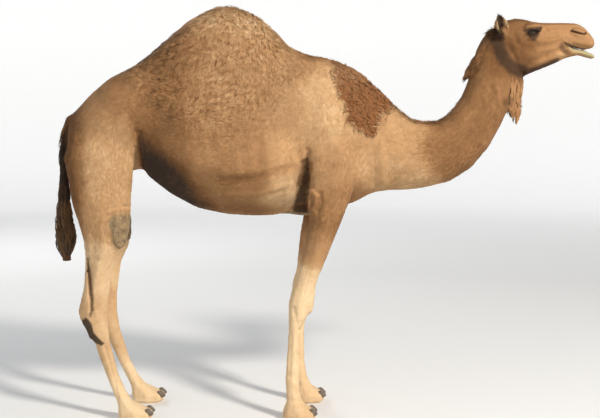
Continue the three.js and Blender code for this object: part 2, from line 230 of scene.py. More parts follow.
points, edges = read_points(hide.data), read_edges(hide.data)
x, y, z = points.T
fresh = between(x - 0.45 * (z - 1.9), 0.95, 0.99) * between(z, 1.75, 1.79)
points = rub_smooth(points, edges, fresh * 0.4, 4)
jaw = np.exp(-((x - 1.14) / 0.09) ** 2 - ((z - 1.862 - 0.25 * (x - 1.14)) / 0.035) ** 2)
points = rub_smooth(points, edges, jaw * 0.6, 40)
write_points(hide.data, points)
normals = read_normals(hide.data)
HEAD_FORMS = [
    # path, width, lift
    ([(1.030, 0.088, 2.024), (1.060, 0.094, 2.034), (1.095, 0.086, 2.030), (1.120, 0.072, 2.018)], 0.022, 0.007),
    ([(1.125, 0.070, 2.000), (1.150, 0.060, 2.003)], 0.026, -0.007),
    ([(1.062, 0.090, 1.958), (1.100, 0.082, 1.953), (1.150, 0.066, 1.966), (1.215, 0.055, 1.985)], 0.016, 0.006),
    ([(1.020, 0.090, 1.948), (1.062, 0.090, 1.938)], 0.030, 0.004),
    ([(1.110, 0.078, 1.925), (1.175, 0.062, 1.930), (1.225, 0.055, 1.945)], 0.026, -0.006),
    ([(0.985, 0.090, 1.985), (0.995, 0.095, 1.940)], 0.026, -0.006),
    ([(1.000, 0.085, 1.905), (1.060, 0.080, 1.870), (1.110, 0.070, 1.860)], 0.050, 0.006),
    ([(1.180, 0.055, 2.026), (1.280, 0.046, 2.026)], 0.020, -0.004),
    ([(1.206, 0.048, 1.888), (1.236, 0.044, 1.884)], 0.022, 0.004),
    ([(1.262, 0.046, 1.915), (1.246, 0.046, 1.898)], 0.018, -0.010),
    ([(1.285, 0.050, 1.945), (1.330, 0.048, 1.935), (1.380, 0.040, 1.932)], 0.022, 0.005),
    ([(1.275, 0.050, 1.990), (1.300, 0.050, 1.975)], 0.020, -0.003),
]
for path, width, lift in HEAD_FORMS:
    points = press(points, normals, path, width, lift)
# The nostril: a raised rim, then the slit cut through it
NOSTRIL = [
    (1.283, 0.051, 2.003), (1.301, 0.052, 1.998), (1.327, 0.051, 1.990), (1.350, 0.047, 1.985), (1.360, 0.043, 1.992),
]
NOSTRIL_FLAP = [
    (1.283, 0.050, 2.003), (1.292, 0.047, 2.016), (1.317, 0.045, 2.019), (1.342, 0.044, 2.008), (1.358, 0.042, 1.994),
]
NOSTRIL_RIM = [(1.298, 0.050, 2.008), (1.320, 0.050, 2.005), (1.342, 0.047, 1.997)]
points = press(points, normals, NOSTRIL_RIM, 0.017, 0.0075)
points = press(points, normals, [(px, py, pz - 0.012) for px, py, pz in NOSTRIL[:4]], 0.012, 0.004)
points = press(points, normals, NOSTRIL_FLAP, 0.007, -0.0035)
points = press(points, normals, NOSTRIL, 0.0080, -0.014)
# The cleft in the middle of the upper lip
points = press(points, normals, [(1.415, 0.0, 1.925), (1.410, 0.0, 1.965), (1.385, 0.0, 1.998)], 0.010, -0.006)

# Behind the drooping tip the lips rest on each other
MOUTH_LINE = [(1.250, 1.942), (1.290, 1.926), (1.345, 1.909), (1.380, 1.903)]
x, y, z = points.T
line = np.interp(x, *zip(*MOUTH_LINE))
shut = between(x, 1.235, 1.255) * between(-x, -1.392, -1.362) * (1 - between(np.abs(z - line), 0.005, 0.013))
points[:, 2] += (line - z) * 0.98 * shut

# The sockets: the hide dips under the eyeball, and the lids are laid over it afterwards
for side in (-1, 1):
    centre = EYE_PLACE * (1, side, 1)
    offset = points - centre
    aside = np.hypot(offset[:, 0] / 1.25, offset[:, 2])
    outer = offset[:, 1] * side > -0.02
    inner = outer & (aside < 0.030)
    share = (1 - between(aside[inner], 0.014, 0.023))[:, None]
    distance = np.linalg.norm(offset[inner], axis=1)[:, None]
    sunk = centre + offset[inner] / distance * SOCKET_RADIUS
    points[inner] += (sunk - points[inner]) * share
write_points(hide.data, points)

# ---------------------------------------------------------------- the lids
# Each eye looks out between thick lids: a heavy upper one with a fold above it and a thinner lower
# one. They are one band of skin that follows the eyeball, laid into the socket of the hide.
LID_STEPS = 40
LID_HALF_LENGTH = 0.0205
LID_RISE, LID_DROP = 0.0108, 0.0105
EYE_TILT = math.radians(-6)


def lid_edge(turn):
    """The opening between the lids, as an offset forward and up from the eye's middle."""
    forward, up = math.cos(turn) * LID_HALF_LENGTH, math.sin(turn)
    up = up * (LID_RISE if up > 0 else LID_DROP) * (1 - 0.25 * abs(math.cos(turn)) ** 3)
    cosine, sine = math.cos(EYE_TILT), math.sin(EYE_TILT)
    return (forward * cosine - up * sine, forward * sine + up * cosine)


LID_RINGS = [
    # outward from the opening, distance from the eyeball's middle: upper lid, lower lid
    (-0.0012, 0.0222, 0.0222),
    (0.0000, 0.0241, 0.0237),
    (0.0018, 0.0254, 0.0244),
    (0.0045, 0.0258, 0.0246),
    (0.0070, 0.0249, 0.0242),
    (0.0098, 0.0258, 0.0245),
    (0.0130, 0.0255, 0.0242),
    (0.0170, 0.0238, 0.0232),
]
lids = bmesh.new()
for side in (-1, 1):
    centre = EYE_PLACE * (1, side, 1)
    rings = []
    for outward, upper, lower in LID_RINGS:
        ring = []
        for step in range(LID_STEPS):
            turn = 2 * math.pi * step / LID_STEPS
            forward, up = lid_edge(turn)
            length = math.hypot(forward, up)
            spread = (length + outward) / length
            forward, up = forward * spread, up * (length + outward * 1.15) / length
            top = 0.5 + 0.5 * math.tanh(3 * math.sin(turn))
            radius = lower + (upper - lower) * top
            depth = math.sqrt(max(radius**2 - forward**2 - up**2, 0.0))
            ring.append(lids.verts.new((centre[0] + forward, centre[1] + side * depth, centre[2] + up)))
        rings.append(ring)
    for inner, outer in zip(rings, rings[1:]):
        for step in range(LID_STEPS):
            after = (step + 1) % LID_STEPS
            corners = (inner[step], outer[step], outer[after], inner[after])
            lids.faces.new(corners if side == 1 else corners[::-1])
lid_mesh = cast(lids, "lids")

# ---------------------------------------------------------------- the body of the hide
# Under the hide lie the shoulder blade, ribs, hip and the long leg tendons. Skin folds show at the
# elbow, the flank and the neck, and horny pads at stifle, hock, knee and elbow carry a kneeling camel.
FORE_LEG, HIND_LEG = 0, 1
BODY_FORMS = {
    # how far out on the body, width, lift, and path as seen from the side
    None: [
        (0.12, 0.024, -0.012, [(-0.073, 1.395), (-0.080, 1.320)]),
        (0.12, 0.038, -0.036, [(-0.080, 1.320), (-0.098, 1.220), (-0.118, 1.120), (-0.128, 1.060)]),
        (0.15, 0.045, 0.012, [(-0.150, 1.330), (-0.165, 1.200), (-0.160, 1.110)]),
        (0.10, 0.075, 0.008, [(0.010, 1.620), (-0.010, 1.450), (-0.030, 1.300)]),
        (0.10, 0.055, -0.006, [(0.130, 1.640), (0.110, 1.500), (0.080, 1.380)]),
        (0.10, 0.060, 0.007, [(0.070, 1.420), (0.100, 1.300), (0.090, 1.200)]),
        (0.02, 0.040, 0.005, [(0.300, 1.420), (0.309, 1.320), (0.316, 1.230)]),
        (0.02, 0.050, -0.004, [(0.352, 1.330), (0.372, 1.240)]),
        (0.02, 0.050, -0.003, [(0.250, 1.330), (0.262, 1.230)]),
        (0.02, 0.034, -0.006, [(0.600, 1.400), (0.720, 1.480), (0.820, 1.600), (0.870, 1.700)]),
        (0.02, 0.040, 0.005, [(0.560, 1.440), (0.690, 1.530), (0.780, 1.640), (0.830, 1.740)]),
        (0.02, 0.020, 0.005, [(0.900, 1.700), (0.915, 1.620), (0.905, 1.560)]),
        (0.10, 0.030, -0.012, [(-0.932, 1.480), (-0.938, 1.400), (-0.942, 1.320)]),
        (0.10, 0.030, -0.014, [(-0.938, 1.400), (-0.942, 1.320), (-0.944, 1.260)]),
        (0.10, 0.050, 0.005, [(-0.985, 1.420), (-0.985, 1.340), (-0.985, 1.240)]),
        (0.08, 0.090, 0.012, [(-1.070, 1.700), (-1.020, 1.640)]),
        (0.05, 0.040, -0.004, [(-1.230, 1.480), (-1.238, 1.330), (-1.218, 1.180)]),
        (0.10, 0.090, -0.010, [(-0.880, 1.640), (-0.820, 1.560)]),
        (0.15, 0.030, -0.004, [(-0.620, 1.130), (-0.450, 1.098), (-0.300, 1.105)]),
        (0.15, 0.035, -0.005, [(-0.500, 1.243), (-0.330, 1.262), (-0.160, 1.310)]),
        (0.15, 0.030, 0.005, [(-0.480, 1.165), (-0.330, 1.172), (-0.160, 1.225)]),
        (0.15, 0.020, -0.003, [(-0.265, 1.170), (-0.200, 1.192)]),
        (0.15, 0.018, 0.002, [(-0.265, 1.150), (-0.200, 1.172)]),
    ],
    # the elbow's fold curled like a small ear, the groove before it, muscle, tendons, knee and fetlock
    FORE_LEG: [
        (0.10, 0.015, 0.013, [(-0.070, 1.190), (-0.050, 1.192), (-0.034, 1.165), (-0.036, 1.125), (-0.055, 1.095)]),
        (0.10, 0.014, -0.009, [(-0.058, 1.158), (-0.058, 1.115)]),
        (0.10, 0.020, -0.006, [(-0.012, 1.180), (-0.008, 1.140), (-0.025, 1.095)]),
        (0.10, 0.030, -0.003, [(-0.020, 1.080), (-0.020, 1.000)]),
        (0.10, 0.045, 0.005, [(0.000, 1.060), (-0.020, 0.950), (-0.050, 0.820)]),
        (0.10, 0.010, -0.006, [(-0.066, 0.765), (-0.080, 0.710), (-0.094, 0.660)]),
        (0.10, 0.016, -0.004, [(-0.148, 0.590), (-0.130, 0.520), (-0.118, 0.470)]),
        (0.10, 0.011, -0.0035, [(-0.121, 0.470), (-0.124, 0.380), (-0.124, 0.290)]),
        (0.10, 0.012, -0.004, [(-0.160, 0.450), (-0.163, 0.330), (-0.168, 0.230)]),
        (0.10, 0.012, 0.002, [(-0.138, 0.430), (-0.140, 0.300)]),
        (0.10, 0.018, 0.003, [(-0.150, 0.200), (-0.130, 0.155)]),
        (0.10, 0.018, -0.003, [(-0.160, 0.120), (-0.120, 0.100), (-0.080, 0.090)]),
    ],
    # the slot between heel tendon and shin, the hock, the cannon's tendons, the fold over the stifle
    HIND_LEG: [
        (0.02, 0.016, -0.012, [(-1.196, 0.845), (-1.190, 0.750), (-1.182, 0.650), (-1.180, 0.575)]),
        (0.10, 0.024, 0.003, [(-1.140, 0.830), (-1.135, 0.720), (-1.130, 0.620)]),
        (0.10, 0.030, 0.005, [(-1.100, 0.900), (-1.120, 0.860)]),
        (0.10, 0.022, 0.004, [(-1.160, 0.560), (-1.135, 0.500), (-1.110, 0.440)]),
        (0.02, 0.011, -0.0045, [(-1.135, 0.440), (-1.100, 0.330), (-1.065, 0.200), (-1.050, 0.110)]),
        (0.10, 0.014, 0.002, [(-1.110, 0.430), (-1.080, 0.320), (-1.040, 0.200)]),
        (0.10, 0.016, 0.004, [(-1.080, 1.085), (-1.020, 1.100), (-0.975, 1.085)]),
        (0.10, 0.010, -0.004, [(-1.005, 1.118), (-0.985, 1.112), (-0.968, 1.095)]),
    ],
}
points, normals = read_points(hide.data), read_normals(hide.data)
for leg, forms in BODY_FORMS.items():
    for out, width, lift, line in forms:
        path = [(px, out, pz) for px, pz in line]
        points = press(points, normals, path, width, lift, flat=True, leg=leg)

# Ribs show faintly under the flank
x, y, z = points.T
on_ribs = np.exp(-((x + 0.40) / 0.24) ** 2 - ((z - 1.42) / 0.17) ** 2)
wave = np.sin((x + 0.12 * (z - 1.4)) * 2 * math.pi / 0.075)
points += normals * (0.0014 * on_ribs * wave)[:, None]


def inside(points, outline):
    """Distance inside an outline drawn in the side view, negative outside it."""
    spots = points[:, [0, 2]]
    outline = np.asarray(outline, float)
    within = np.zeros(len(spots), bool)
    for (ax, az), (bx, bz) in zip(outline, np.roll(outline, -1, axis=0)):
        crosses = (az > spots[:, 1]) != (bz > spots[:, 1])
        within ^= crosses & (spots[:, 0] < (bx - ax) * (spots[:, 1] - az) / (bz - az + 1e-12) + ax)
    distance = from_line(points, [*outline, outline[0]])
    return np.where(within, distance, -distance)


def to_right_leg(points, leg):
    """Points of the left leg moved back onto the right one, so that one drawing serves both."""
    moved = points.copy()
    moved[:, 0] -= np.where(points[:, 1] > 0, stance(points[:, 2])[leg], 0.0)
    return moved


# Under the heel the hide runs straight down to the cannon, and the tassel of the tail runs to a point
x, y, z = to_right_leg(points, HIND_LEG).T
heel = np.exp(-((x + 1.200) / 0.042) ** 2 - ((z - 0.420) / 0.050) ** 2)
points = rub_smooth(points, read_edges(hide.data), heel * 0.75, 90)
TAIL_X = -1.345
TASSEL_SQUEEZE = 0.92
x, y, z = points.T
tassel = between(-z, -0.97, -0.79) * (x < -1.24) * (z > 0.70)
points = points + np.stack([(TAIL_X - x) * TASSEL_SQUEEZE * tassel, -y * TASSEL_SQUEEZE * tassel, 0 * z], axis=1)

# The horny pads stand a little proud, with cracked edges
STIFLE_PAD = [
    (-1.070, 1.060), (-1.052, 1.077), (-1.002, 1.078), (-0.968, 1.062), (-0.940, 1.030), (-0.945, 0.960),
    (-0.985, 0.925), (-1.010, 0.897), (-1.037, 0.892), (-1.056, 0.922), (-1.060, 0.975), (-1.078, 1.012),
    (-1.082, 1.045),
]
HOCK_PAD = [
    (-1.198, 0.534), (-1.180, 0.506), (-1.170, 0.462), (-1.144, 0.430), (-1.118, 0.402), (-1.132, 0.392),
    (-1.165, 0.402), (-1.200, 0.430), (-1.235, 0.470), (-1.235, 0.520), (-1.212, 0.540),
]
PAD_HEIGHT = 0.0035
PAD_SPOTS = [
    # middle, radii, strength, leg
    ((-0.036, 0.172, 0.600), (0.018, 0.030, 0.045), 0.35, FORE_LEG),  # knee
    ((-0.078, 0.190, 1.085), (0.020, 0.026, 0.030), 0.50, FORE_LEG),  # elbow
    ((-0.096, 0.0, 1.062), (0.130, 0.080, 0.035), 1.0, None),  # chest
]


def horn(points, normals):
    """1 on the horny pads, 0 off them."""
    outward = normals[:, 1] * np.sign(points[:, 1])
    outward_or_forward = np.maximum(outward, 0.6 * normals[:, 0])
    hind = to_right_leg(points, HIND_LEG)
    pad = between(inside(hind, STIFLE_PAD), -0.004, 0.005) * between(outward_or_forward, 0.05, 0.30)
    pad = np.maximum(pad, between(inside(hind, HOCK_PAD), -0.004, 0.005) * between(outward, -0.35, 0.0))
    fore = to_right_leg(points, FORE_LEG)
    for middle, radii, strength, leg in PAD_SPOTS:
        spots = np.stack([(points if leg is None else fore)[:, 0], np.abs(points[:, 1]), points[:, 2]], axis=1)
        away = np.linalg.norm((spots - middle) / radii, axis=1)
        pad = np.maximum(pad, strength * (1 - between(away, 0.8, 1.1)))
    return pad


points += normals * (PAD_HEIGHT * horn(points, normals))[:, None]

# The hide draws back round each nail
NAILS = [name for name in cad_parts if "_nail_" in name]
for name in NAILS:
    low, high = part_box(name)
    middle, half = np.array((low + high) / 2), np.array((high - low) / 2)
    away = np.linalg.norm((points - middle) / half, axis=1)
    near = away < 1.35
    points[near] += (middle - points[near]) * (0.30 * (1 - between(away[near], 1.05, 1.35)))[:, None]
write_points(hide.data, points)

# ---------------------------------------------------------------- where the coat lies and how deep
# The coat is short on face and legs, a little longer on the trunk, and woolly over hump and shoulder.
# The hide is drawn in by the depth of the coat, so that the tips of the hair give the outline.
CAPE = [
    (0.050, 1.900), (0.062, 1.800), (0.078, 1.730), (0.112, 1.650), (0.128, 1.600), (0.150, 1.545), (0.190, 1.520),
    (0.215, 1.480), (0.254, 1.466), (0.268, 1.500), (0.300, 1.540), (0.322, 1.590), (0.365, 1.615), (0.385, 1.690),
    (0.300, 1.780), (0.180, 1.880),
]
WOOL_AREAS = [
    # middle x, z, half length, half height, strength
    (-0.50, 2.02, 0.34, 0.24, 1.6),
    (-0.74, 1.86, 0.26, 0.17, 1.4),
    (-0.52, 1.74, 0.36, 0.16, 0.9),
    (-0.50, 1.56, 0.34, 0.14, 0.5),
]


def area(points, x, z, half_length, half_height):
    """A soft oval spot in the side view, 1 in its middle."""
    return np.exp(-((points[:, 0] - x) / half_length) ** 2 - ((points[:, 2] - z) / half_height) ** 2)


def wool(points):
    """How woolly the coat is, from 0 to 1."""
    return np.clip(sum(strength * area(points, *spot) for *spot, strength in WOOL_AREAS), 0, 1)


def drift(points, size, seed):
    """Slow random change over the body, from about -1 to 1, with swells of about the given size."""
    pick = np.random.default_rng(seed)
    total = np.zeros(len(points))
    for _ in range(10):
        heading = pick.normal(size=3)
        heading /= np.linalg.norm(heading)
        total += np.sin(points @ heading * (2 * math.pi / (size * pick.uniform(0.7, 1.6))) + pick.uniform(0, 6.3))
    return total / 3.2


def cape(points):
    """1 on the cape, 0 off it, with a ragged rear edge and a softer front one."""
    ragged = inside(points, CAPE) + 0.009 * drift(points, 0.05, 5)
    soft = 0.010 + 0.014 * between(points[:, 0], 0.28, 0.34)
    return between(ragged / soft, -1.0, 1.0) * (1 - 0.35 * between(points[:, 2], 1.66, 1.84))


SHORTEST = 0.0012


def coat_depth(points):
    """How far the coat stands out from the hide."""
    x, y, z = points.T
    depth = 0.0035 + 0.0075 * wool(points) + 0.006 * cape(points)
    depth = depth + (SHORTEST - depth) * between(-z, -1.05, -0.75)
    depth = depth + (SHORTEST - depth) * between(along_head(x, z), 0.90, 1.00) * between(z, 1.6, 1.75)
    mane = np.exp(-((x - 0.80) / 0.05) ** 2 - ((z - 1.86) / 0.09) ** 2 - (y / 0.06) ** 2)
    mane = mane * between(0.86 - x + 0.45 * (z - 1.9), 0.0, 0.03)
    beard = between(x, 0.965, 0.995) * between(-z, -1.74, -1.66)
    tuft = between(-x, 1.29, 1.32) * between(-z, -1.20, -1.05)
    depth = depth + 0.014 * mane + 0.010 * beard + 0.022 * tuft
    lips = between(from_line(points, MOUTH_LINE + [(1.430, 1.896)]), 0.006, 0.016)
    return depth * between(z, 0.004, 0.03) * lips


points, normals = read_points(hide.data), read_normals(hide.data)
points -= normals * coat_depth(points)[:, None]
points[:, 2] = np.maximum(points[:, 2], 0.0002)
write_points(hide.data, points)

# The finished clay is thinned where it is smooth, to keep the piece light
SKIN_FACES = 176000
triangles = sum(len(polygon.vertices) - 2 for polygon in hide.data.polygons)
thin = hide.modifiers.new("thin", "DECIMATE")
thin.ratio = SKIN_FACES / triangles
work_in(hide)

# ---------------------------------------------------------------- the ears
# Short rounded ears of thin gristle under skin, cupped forward and out, set behind the brow. Each is
# a leaf of skin curled into a cup, and its root is buried in the hide.
EAR_LENGTH = 0.117
EAR_THICKNESS = 0.0034
EAR_PLACE = (0.933, 0.060, 1.990)
EAR_LEAN = {-1: 19, 1: -4}
ear_matrix = {}
ears = bmesh.new()
for side in (-1, 1):
    leaf = bmesh.new()
    bmesh.ops.create_grid(leaf, x_segments=14, y_segments=22, size=1.0)
    for vert in leaf.verts:
        across, up = vert.co.x, (vert.co.y + 1) / 2
        half = np.interp(up, [0, 0.12, 0.35, 0.60, 0.80, 0.92, 1.0],
                         [0.010, 0.018, 0.029, 0.0305, 0.0235, 0.014, 0.003])
        curl = math.radians(np.interp(up, [0, 0.3, 0.7, 1.0], [112, 98, 72, 35]))
        back = np.interp(up, [0, 0.2, 0.6, 1.0], [-0.012, -0.020, -0.019, -0.007])
        bend = across * curl
        widest = math.sin(min(curl, math.pi / 2))
        vert.co = Vector((
            back + half * (1 - math.cos(bend)) / widest,
            half * math.sin(bend) / widest,
            -0.012 + up * (EAR_LENGTH - 0.006) - 0.006 * across**2,
        ))
    bmesh.ops.recalc_face_normals(leaf, faces=leaf.faces)
    if sum(face.normal.x for face in leaf.faces) < 0:
        bmesh.ops.reverse_faces(leaf, faces=leaf.faces)
    bmesh.ops.solidify(leaf, geom=leaf.faces[:] + leaf.edges[:] + leaf.verts[:], thickness=EAR_THICKNESS)
    place = Matrix.Translation((EAR_PLACE[0], side * EAR_PLACE[1], EAR_PLACE[2]))
    for degrees, axis in ((-EAR_LEAN[side], "Y"), (-22 * side, "X"), (60 * side, "Z")):
        place = place @ Matrix.Rotation(math.radians(degrees), 4, axis)
    bmesh.ops.transform(leaf, matrix=place, verts=leaf.verts)
    ear_matrix[side] = place
    ears.from_mesh(cast(leaf, "ear_leaf"))
bmesh.ops.recalc_face_normals(ears, faces=ears.faces)
ear_mesh = cast(ears, "ears")


def on_the_ear(points, side):
    """Points measured along an ear's own axes (x into its cup, y across, z up to the tip), and those axes."""
    axes = np.array(ear_matrix[side].to_3x3())
    return (points - np.array(ear_matrix[side].translation)) @ axes, axes


joined = bmesh.new()
for part in (hide.data, lid_mesh, ear_mesh):
    joined.from_mesh(part)
joined.to_mesh(hide.data)
joined.free()
hide.data.shade_smooth()

# ---------------------------------------------------------------- markings of hide and coat
# A tan animal, brown on head and neck, cream on the legs, with a red-brown cape of wool behind the
# neck and grey-brown horn on its pads. The hide and every lock of the coat take these same colours.
# Some of these marks are painted light: shade on the belly, thighs and neck, in hollows and folds and along the jaw,
# and one highlight behind the elbow.
TONES = [
    # middle x, z, half length, half height, tone: 0 umber, 0.25 brown, 0.5 tan, 0.75 pale, 1 cream
    # hump and flank
    (-0.486, 2.080, 0.16, 0.08, 0.80), (-0.512, 1.900, 0.16, 0.14, 0.60), (-0.786, 1.880, 0.16, 0.12, 0.34),
    # the last spot here, at the rear of the flank, is darker coat with painted shade
    (-0.463, 1.650, 0.16, 0.12, 0.57), (-0.465, 1.448, 0.16, 0.12, 0.52), (-0.815, 1.498, 0.12, 0.16, 0.31),
    # the last spot here, on the edge of the belly behind the elbow, is a painted highlight
    (-0.466, 1.180, 0.14, 0.08, 0.46), (-0.189, 1.190, 0.06, 0.08, 0.80), (-0.215, 1.140, 0.08, 0.035, 0.88),
    # the first spot here, along the underside of the belly, is painted shade
    (-0.500, 1.100, 0.22, 0.025, 0.36), (-0.164, 1.498, 0.08, 0.14, 0.70), (-0.200, 1.850, 0.14, 0.06, 0.60),
    # shoulder, chest and neck
    (0.012, 1.598, 0.08, 0.16, 0.78), (0.037, 1.298, 0.08, 0.10, 0.60), (0.400, 1.444, 0.10, 0.09, 0.68),
    (0.330, 1.280, 0.09, 0.07, 0.74), (0.451, 1.265, 0.10, 0.06, 0.78), (0.655, 1.393, 0.10, 0.08, 0.36),
    # the last spot here, behind the jaw, is darker hair under a painted shadow of the head
    (0.856, 1.648, 0.06, 0.12, 0.38), (0.795, 1.780, 0.04, 0.08, 0.36), (0.905, 1.860, 0.04, 0.07, 0.24),
    # head
    (1.030, 1.900, 0.07, 0.05, 0.24), (0.985, 2.020, 0.05, 0.04, 0.33), (1.210, 2.020, 0.09, 0.03, 0.52),
    (1.380, 1.960, 0.04, 0.05, 0.52), (1.150, 1.880, 0.07, 0.04, 0.50), (1.120, 1.990, 0.04, 0.03, 0.50),
    (1.220, 1.872, 0.025, 0.018, 0.75),
    # rump and hind legs
    (-1.139, 1.600, 0.10, 0.10, 0.57), (-0.980, 1.700, 0.10, 0.10, 0.50), (-1.118, 1.348, 0.12, 0.14, 0.77),
    # the last spot here, on the rear edge of the thigh, is painted shade
    (-0.995, 1.400, 0.03, 0.12, 0.73), (-1.090, 1.080, 0.10, 0.12, 0.71), (-1.270, 1.340, 0.05, 0.25, 0.20),
    (-1.130, 0.840, 0.09, 0.08, 0.88), (-1.150, 0.700, 0.10, 0.06, 0.90), (-1.170, 0.570, 0.08, 0.07, 0.80),
    (-1.100, 0.380, 0.10, 0.14, 0.84), (-1.000, 0.080, 0.14, 0.12, 1.00),
    # fore legs and tail
    (0.013, 1.050, 0.09, 0.08, 0.40), (-0.037, 0.900, 0.08, 0.07, 0.60), (-0.098, 0.700, 0.08, 0.08, 0.94),
    (-0.124, 0.560, 0.09, 0.12, 1.00), (-0.144, 0.350, 0.09, 0.14, 0.95), (-0.124, 0.070, 0.14, 0.10, 0.90),
    (0.110, 1.150, 0.08, 0.07, 0.50), (-1.345, 1.400, 0.03, 0.20, 0.16), (-1.345, 0.930, 0.04, 0.15, 0.10),
]
LOWER_LIP = [
    (1.262, 1.930), (1.300, 1.915), (1.350, 1.903), (1.392, 1.900), (1.425, 1.880),
    (1.415, 1.862), (1.380, 1.868), (1.340, 1.888), (1.300, 1.893),
]
EYE_PATCH = [
    (1.036, 2.004), (1.062, 2.016), (1.130, 2.020), (1.112, 1.985), (1.090, 1.952), (1.074, 1.950), (1.048, 1.982),
]
GIRTH_GAP_SHADE = [
    (-0.074, 1.385), (-0.066, 1.330), (-0.061, 1.270), (-0.063, 1.200), (-0.072, 1.150), (-0.074, 1.060),
    (-0.150, 1.060), (-0.138, 1.120), (-0.112, 1.200), (-0.090, 1.290),
]
HEEL_SLOT = [(-1.196, 0.845), (-1.190, 0.750), (-1.182, 0.650), (-1.180, 0.575), (-1.188, 0.550)]
MILK_VEIN = [(-0.500, 1.243), (-0.330, 1.262), (-0.160, 1.310)]
DARK_AND_SHADE_LINES = [
    # how dark, half the width of its middle, half the whole width, line
    # painted shade along and under the jaw, over darker hair; the closed lips; painted shade at their corner and
    # behind the beard
    (0.82, 0.020, 0.048, [(0.903, 1.975), (0.915, 1.905), (0.942, 1.850), (0.985, 1.812), (1.044, 1.794)]),
    (0.82, 0.008, 0.026, [(1.044, 1.790), (1.121, 1.808), (1.215, 1.850)]),
    (0.75, 0.002, 0.010, MOUTH_LINE),
    (0.55, 0.006, 0.022, [(1.236, 1.925), (1.252, 1.900), (1.270, 1.893)]),
    (0.35, 0.006, 0.022, [(0.987, 1.690), (0.968, 1.652), (0.952, 1.640)]),
]


def markings(points, normals):
    """Tone, wool, cape and horn, lip and dark of each point of the hide, each from 0 to 1."""
    x, y, z = points.T
    outward, aside = normals[:, 1] * np.sign(y), np.abs(y)
    weight = np.full(len(points), 1e-5)
    tone = weight * 0.5
    for *spot, value in TONES:
        share = area(points, *spot)
        weight += share
        tone += share * value
    tone /= weight
    # darker where the back faces up, and painted shade over the rear of the belly
    tone -= 0.16 * between(normals[:, 2], 0.70, 1.0) * between(z, 1.3, 1.5)
    belly_shade = between(1.50 - 0.80 * (x + 0.93) - z, -0.05, 0.12) * between(-x, 0.44, 0.72) * between(x, -0.950, -0.926)
    tone -= 0.42 * belly_shade * between(z, 1.0, 1.1)
    # painted shade on the inner side of the thighs
    inner_thigh_shade = between(-outward, 0.0, 0.4) * between(z, 1.10, 1.25) * between(-x, 0.86, 0.90)
    tone -= 0.50 * (inner_thigh_shade * between(aside, 0.02, 0.05))
    # painted shade along the fold of the vein under the belly
    tone -= 0.13 * (1 - between(from_line(points, MILK_VEIN), 0.008, 0.040))
    wooly, caped, horny = wool(points), cape(points), horn(points, normals)
    lip = between(inside(points, LOWER_LIP), -0.004, 0.006)

    # darker round the eye, in the nostril, between the lips and on the heel's pad
    near_eye = np.stack([x, aside, z], axis=1) - EYE_PLACE - (0.0, 0.012, 0.0)
    dark = 0.97 * (1 - between(np.linalg.norm(near_eye / (0.033, 0.03, 0.021), axis=1), 0.75, 1.15))
    dark = np.maximum(dark, 0.86 * between(inside(points, EYE_PATCH), -0.007, 0.003) * between(aside, 0.03, 0.045))
    # painted shade along and under the jaw, at the corner of the mouth and behind the beard, and the dark line of the
    # closed lips
    for strength, full, gone, line in DARK_AND_SHADE_LINES:
        dark = np.maximum(dark, strength * (1 - between(from_line(points, line), full, gone)))
    for strength, path in ((0.9, NOSTRIL), (0.22, NOSTRIL_FLAP)):
        gap = from_path(points, path, flat=True)
        dark = np.maximum(dark, strength * (1 - between(gap, 0.002, 0.007)) * between(aside, 0.02, 0.03))
    hind = to_right_leg(points, HIND_LEG)
    heel = between(inside(hind, HOCK_PAD), -0.004, 0.006) * between(outward, -0.35, 0.0)
    dark = np.maximum(dark, 0.85 * heel)
    # painted shade in the slot between heel tendon and shin
    dark = np.maximum(dark, 0.78 * (1 - between(from_line(hind, HEEL_SLOT), 0.003, 0.010)) * (x < -1.1))
    # painted shade in the gap behind the elbow
    girth = between(inside(points, GIRTH_GAP_SHADE), -0.006, 0.006) * between(np.abs(normals[:, 1]), 0.0, 0.2)
    dark = np.maximum(dark, 0.80 * girth * between(aside, 0.03, 0.06))

    # the ears: pale rims, and dark inside: darker hair with painted shade in the cup
    for side in (-1, 1):
        local, axes = on_the_ear(points, side)
        across = np.abs(local[:, 1])
        on_ear = between(local[:, 2], 0.010, 0.025) * (np.linalg.norm(local[:, :2], axis=1) < 0.050)
        on_ear = on_ear * (local[:, 2] < 0.13)
        tone += on_ear * (0.50 + 0.32 * between(across, 0.018, 0.028) - tone)
        cupped = on_ear * between(normals @ axes[:, 0], 0.0, 0.4) * 0.95
        dark = np.maximum(dark, cupped * between(-across, -0.029, -0.018))
    return tone, wooly, caped, horny, lip, dark


def paint(mesh, tone, wooly, caped, shade, horny, lip, dark):
    """Stores the markings on a mesh, for its material to read."""
    for name, values in (
        ("coat_tones", [tone, wooly, caped, shade]),
        ("bare_skin", [horny, lip, dark, np.ones(len(tone))]),
    ):
        marks = mesh.attributes.new(name, "FLOAT_COLOR", "POINT")
        marks.data.foreach_set("color", np.stack(values, axis=1).astype(np.float32).ravel())


points, normals = read_points(hide.data), read_normals(hide.data)
tone, wooly, caped, horny, lip, dark = markings(points, normals)
paint(hide.data, tone, wooly, caped, np.ones(len(tone)), horny, lip, dark)

# The colours themselves, as one group that the hide and the coat share
coat_colours = bpy.data.node_groups.new("coat_colours", "ShaderNodeTree")
for name, way, kind in (("Mottle", "INPUT", "Float"), ("Colour", "OUTPUT", "Color"), ("Height", "OUTPUT", "Float")):
    coat_colours.interface.new_socket(name, in_out=way, socket_type="NodeSocket" + kind)


def node(tree, kind, links=(), **settings):
    """Adds a node, sets its properties and values, and joins (input, output) links to it."""
    made = tree.nodes.new(kind)
    for name, value in settings.items():
        if name.startswith("in_"):
            key = name[3:]
            made.inputs[int(key) if key.isdigit() else key.replace("_", " ")].default_value = value
        else:
            setattr(made, name, value)
    for where, source in links:
        tree.links.new(source, made.inputs[where])
    return made


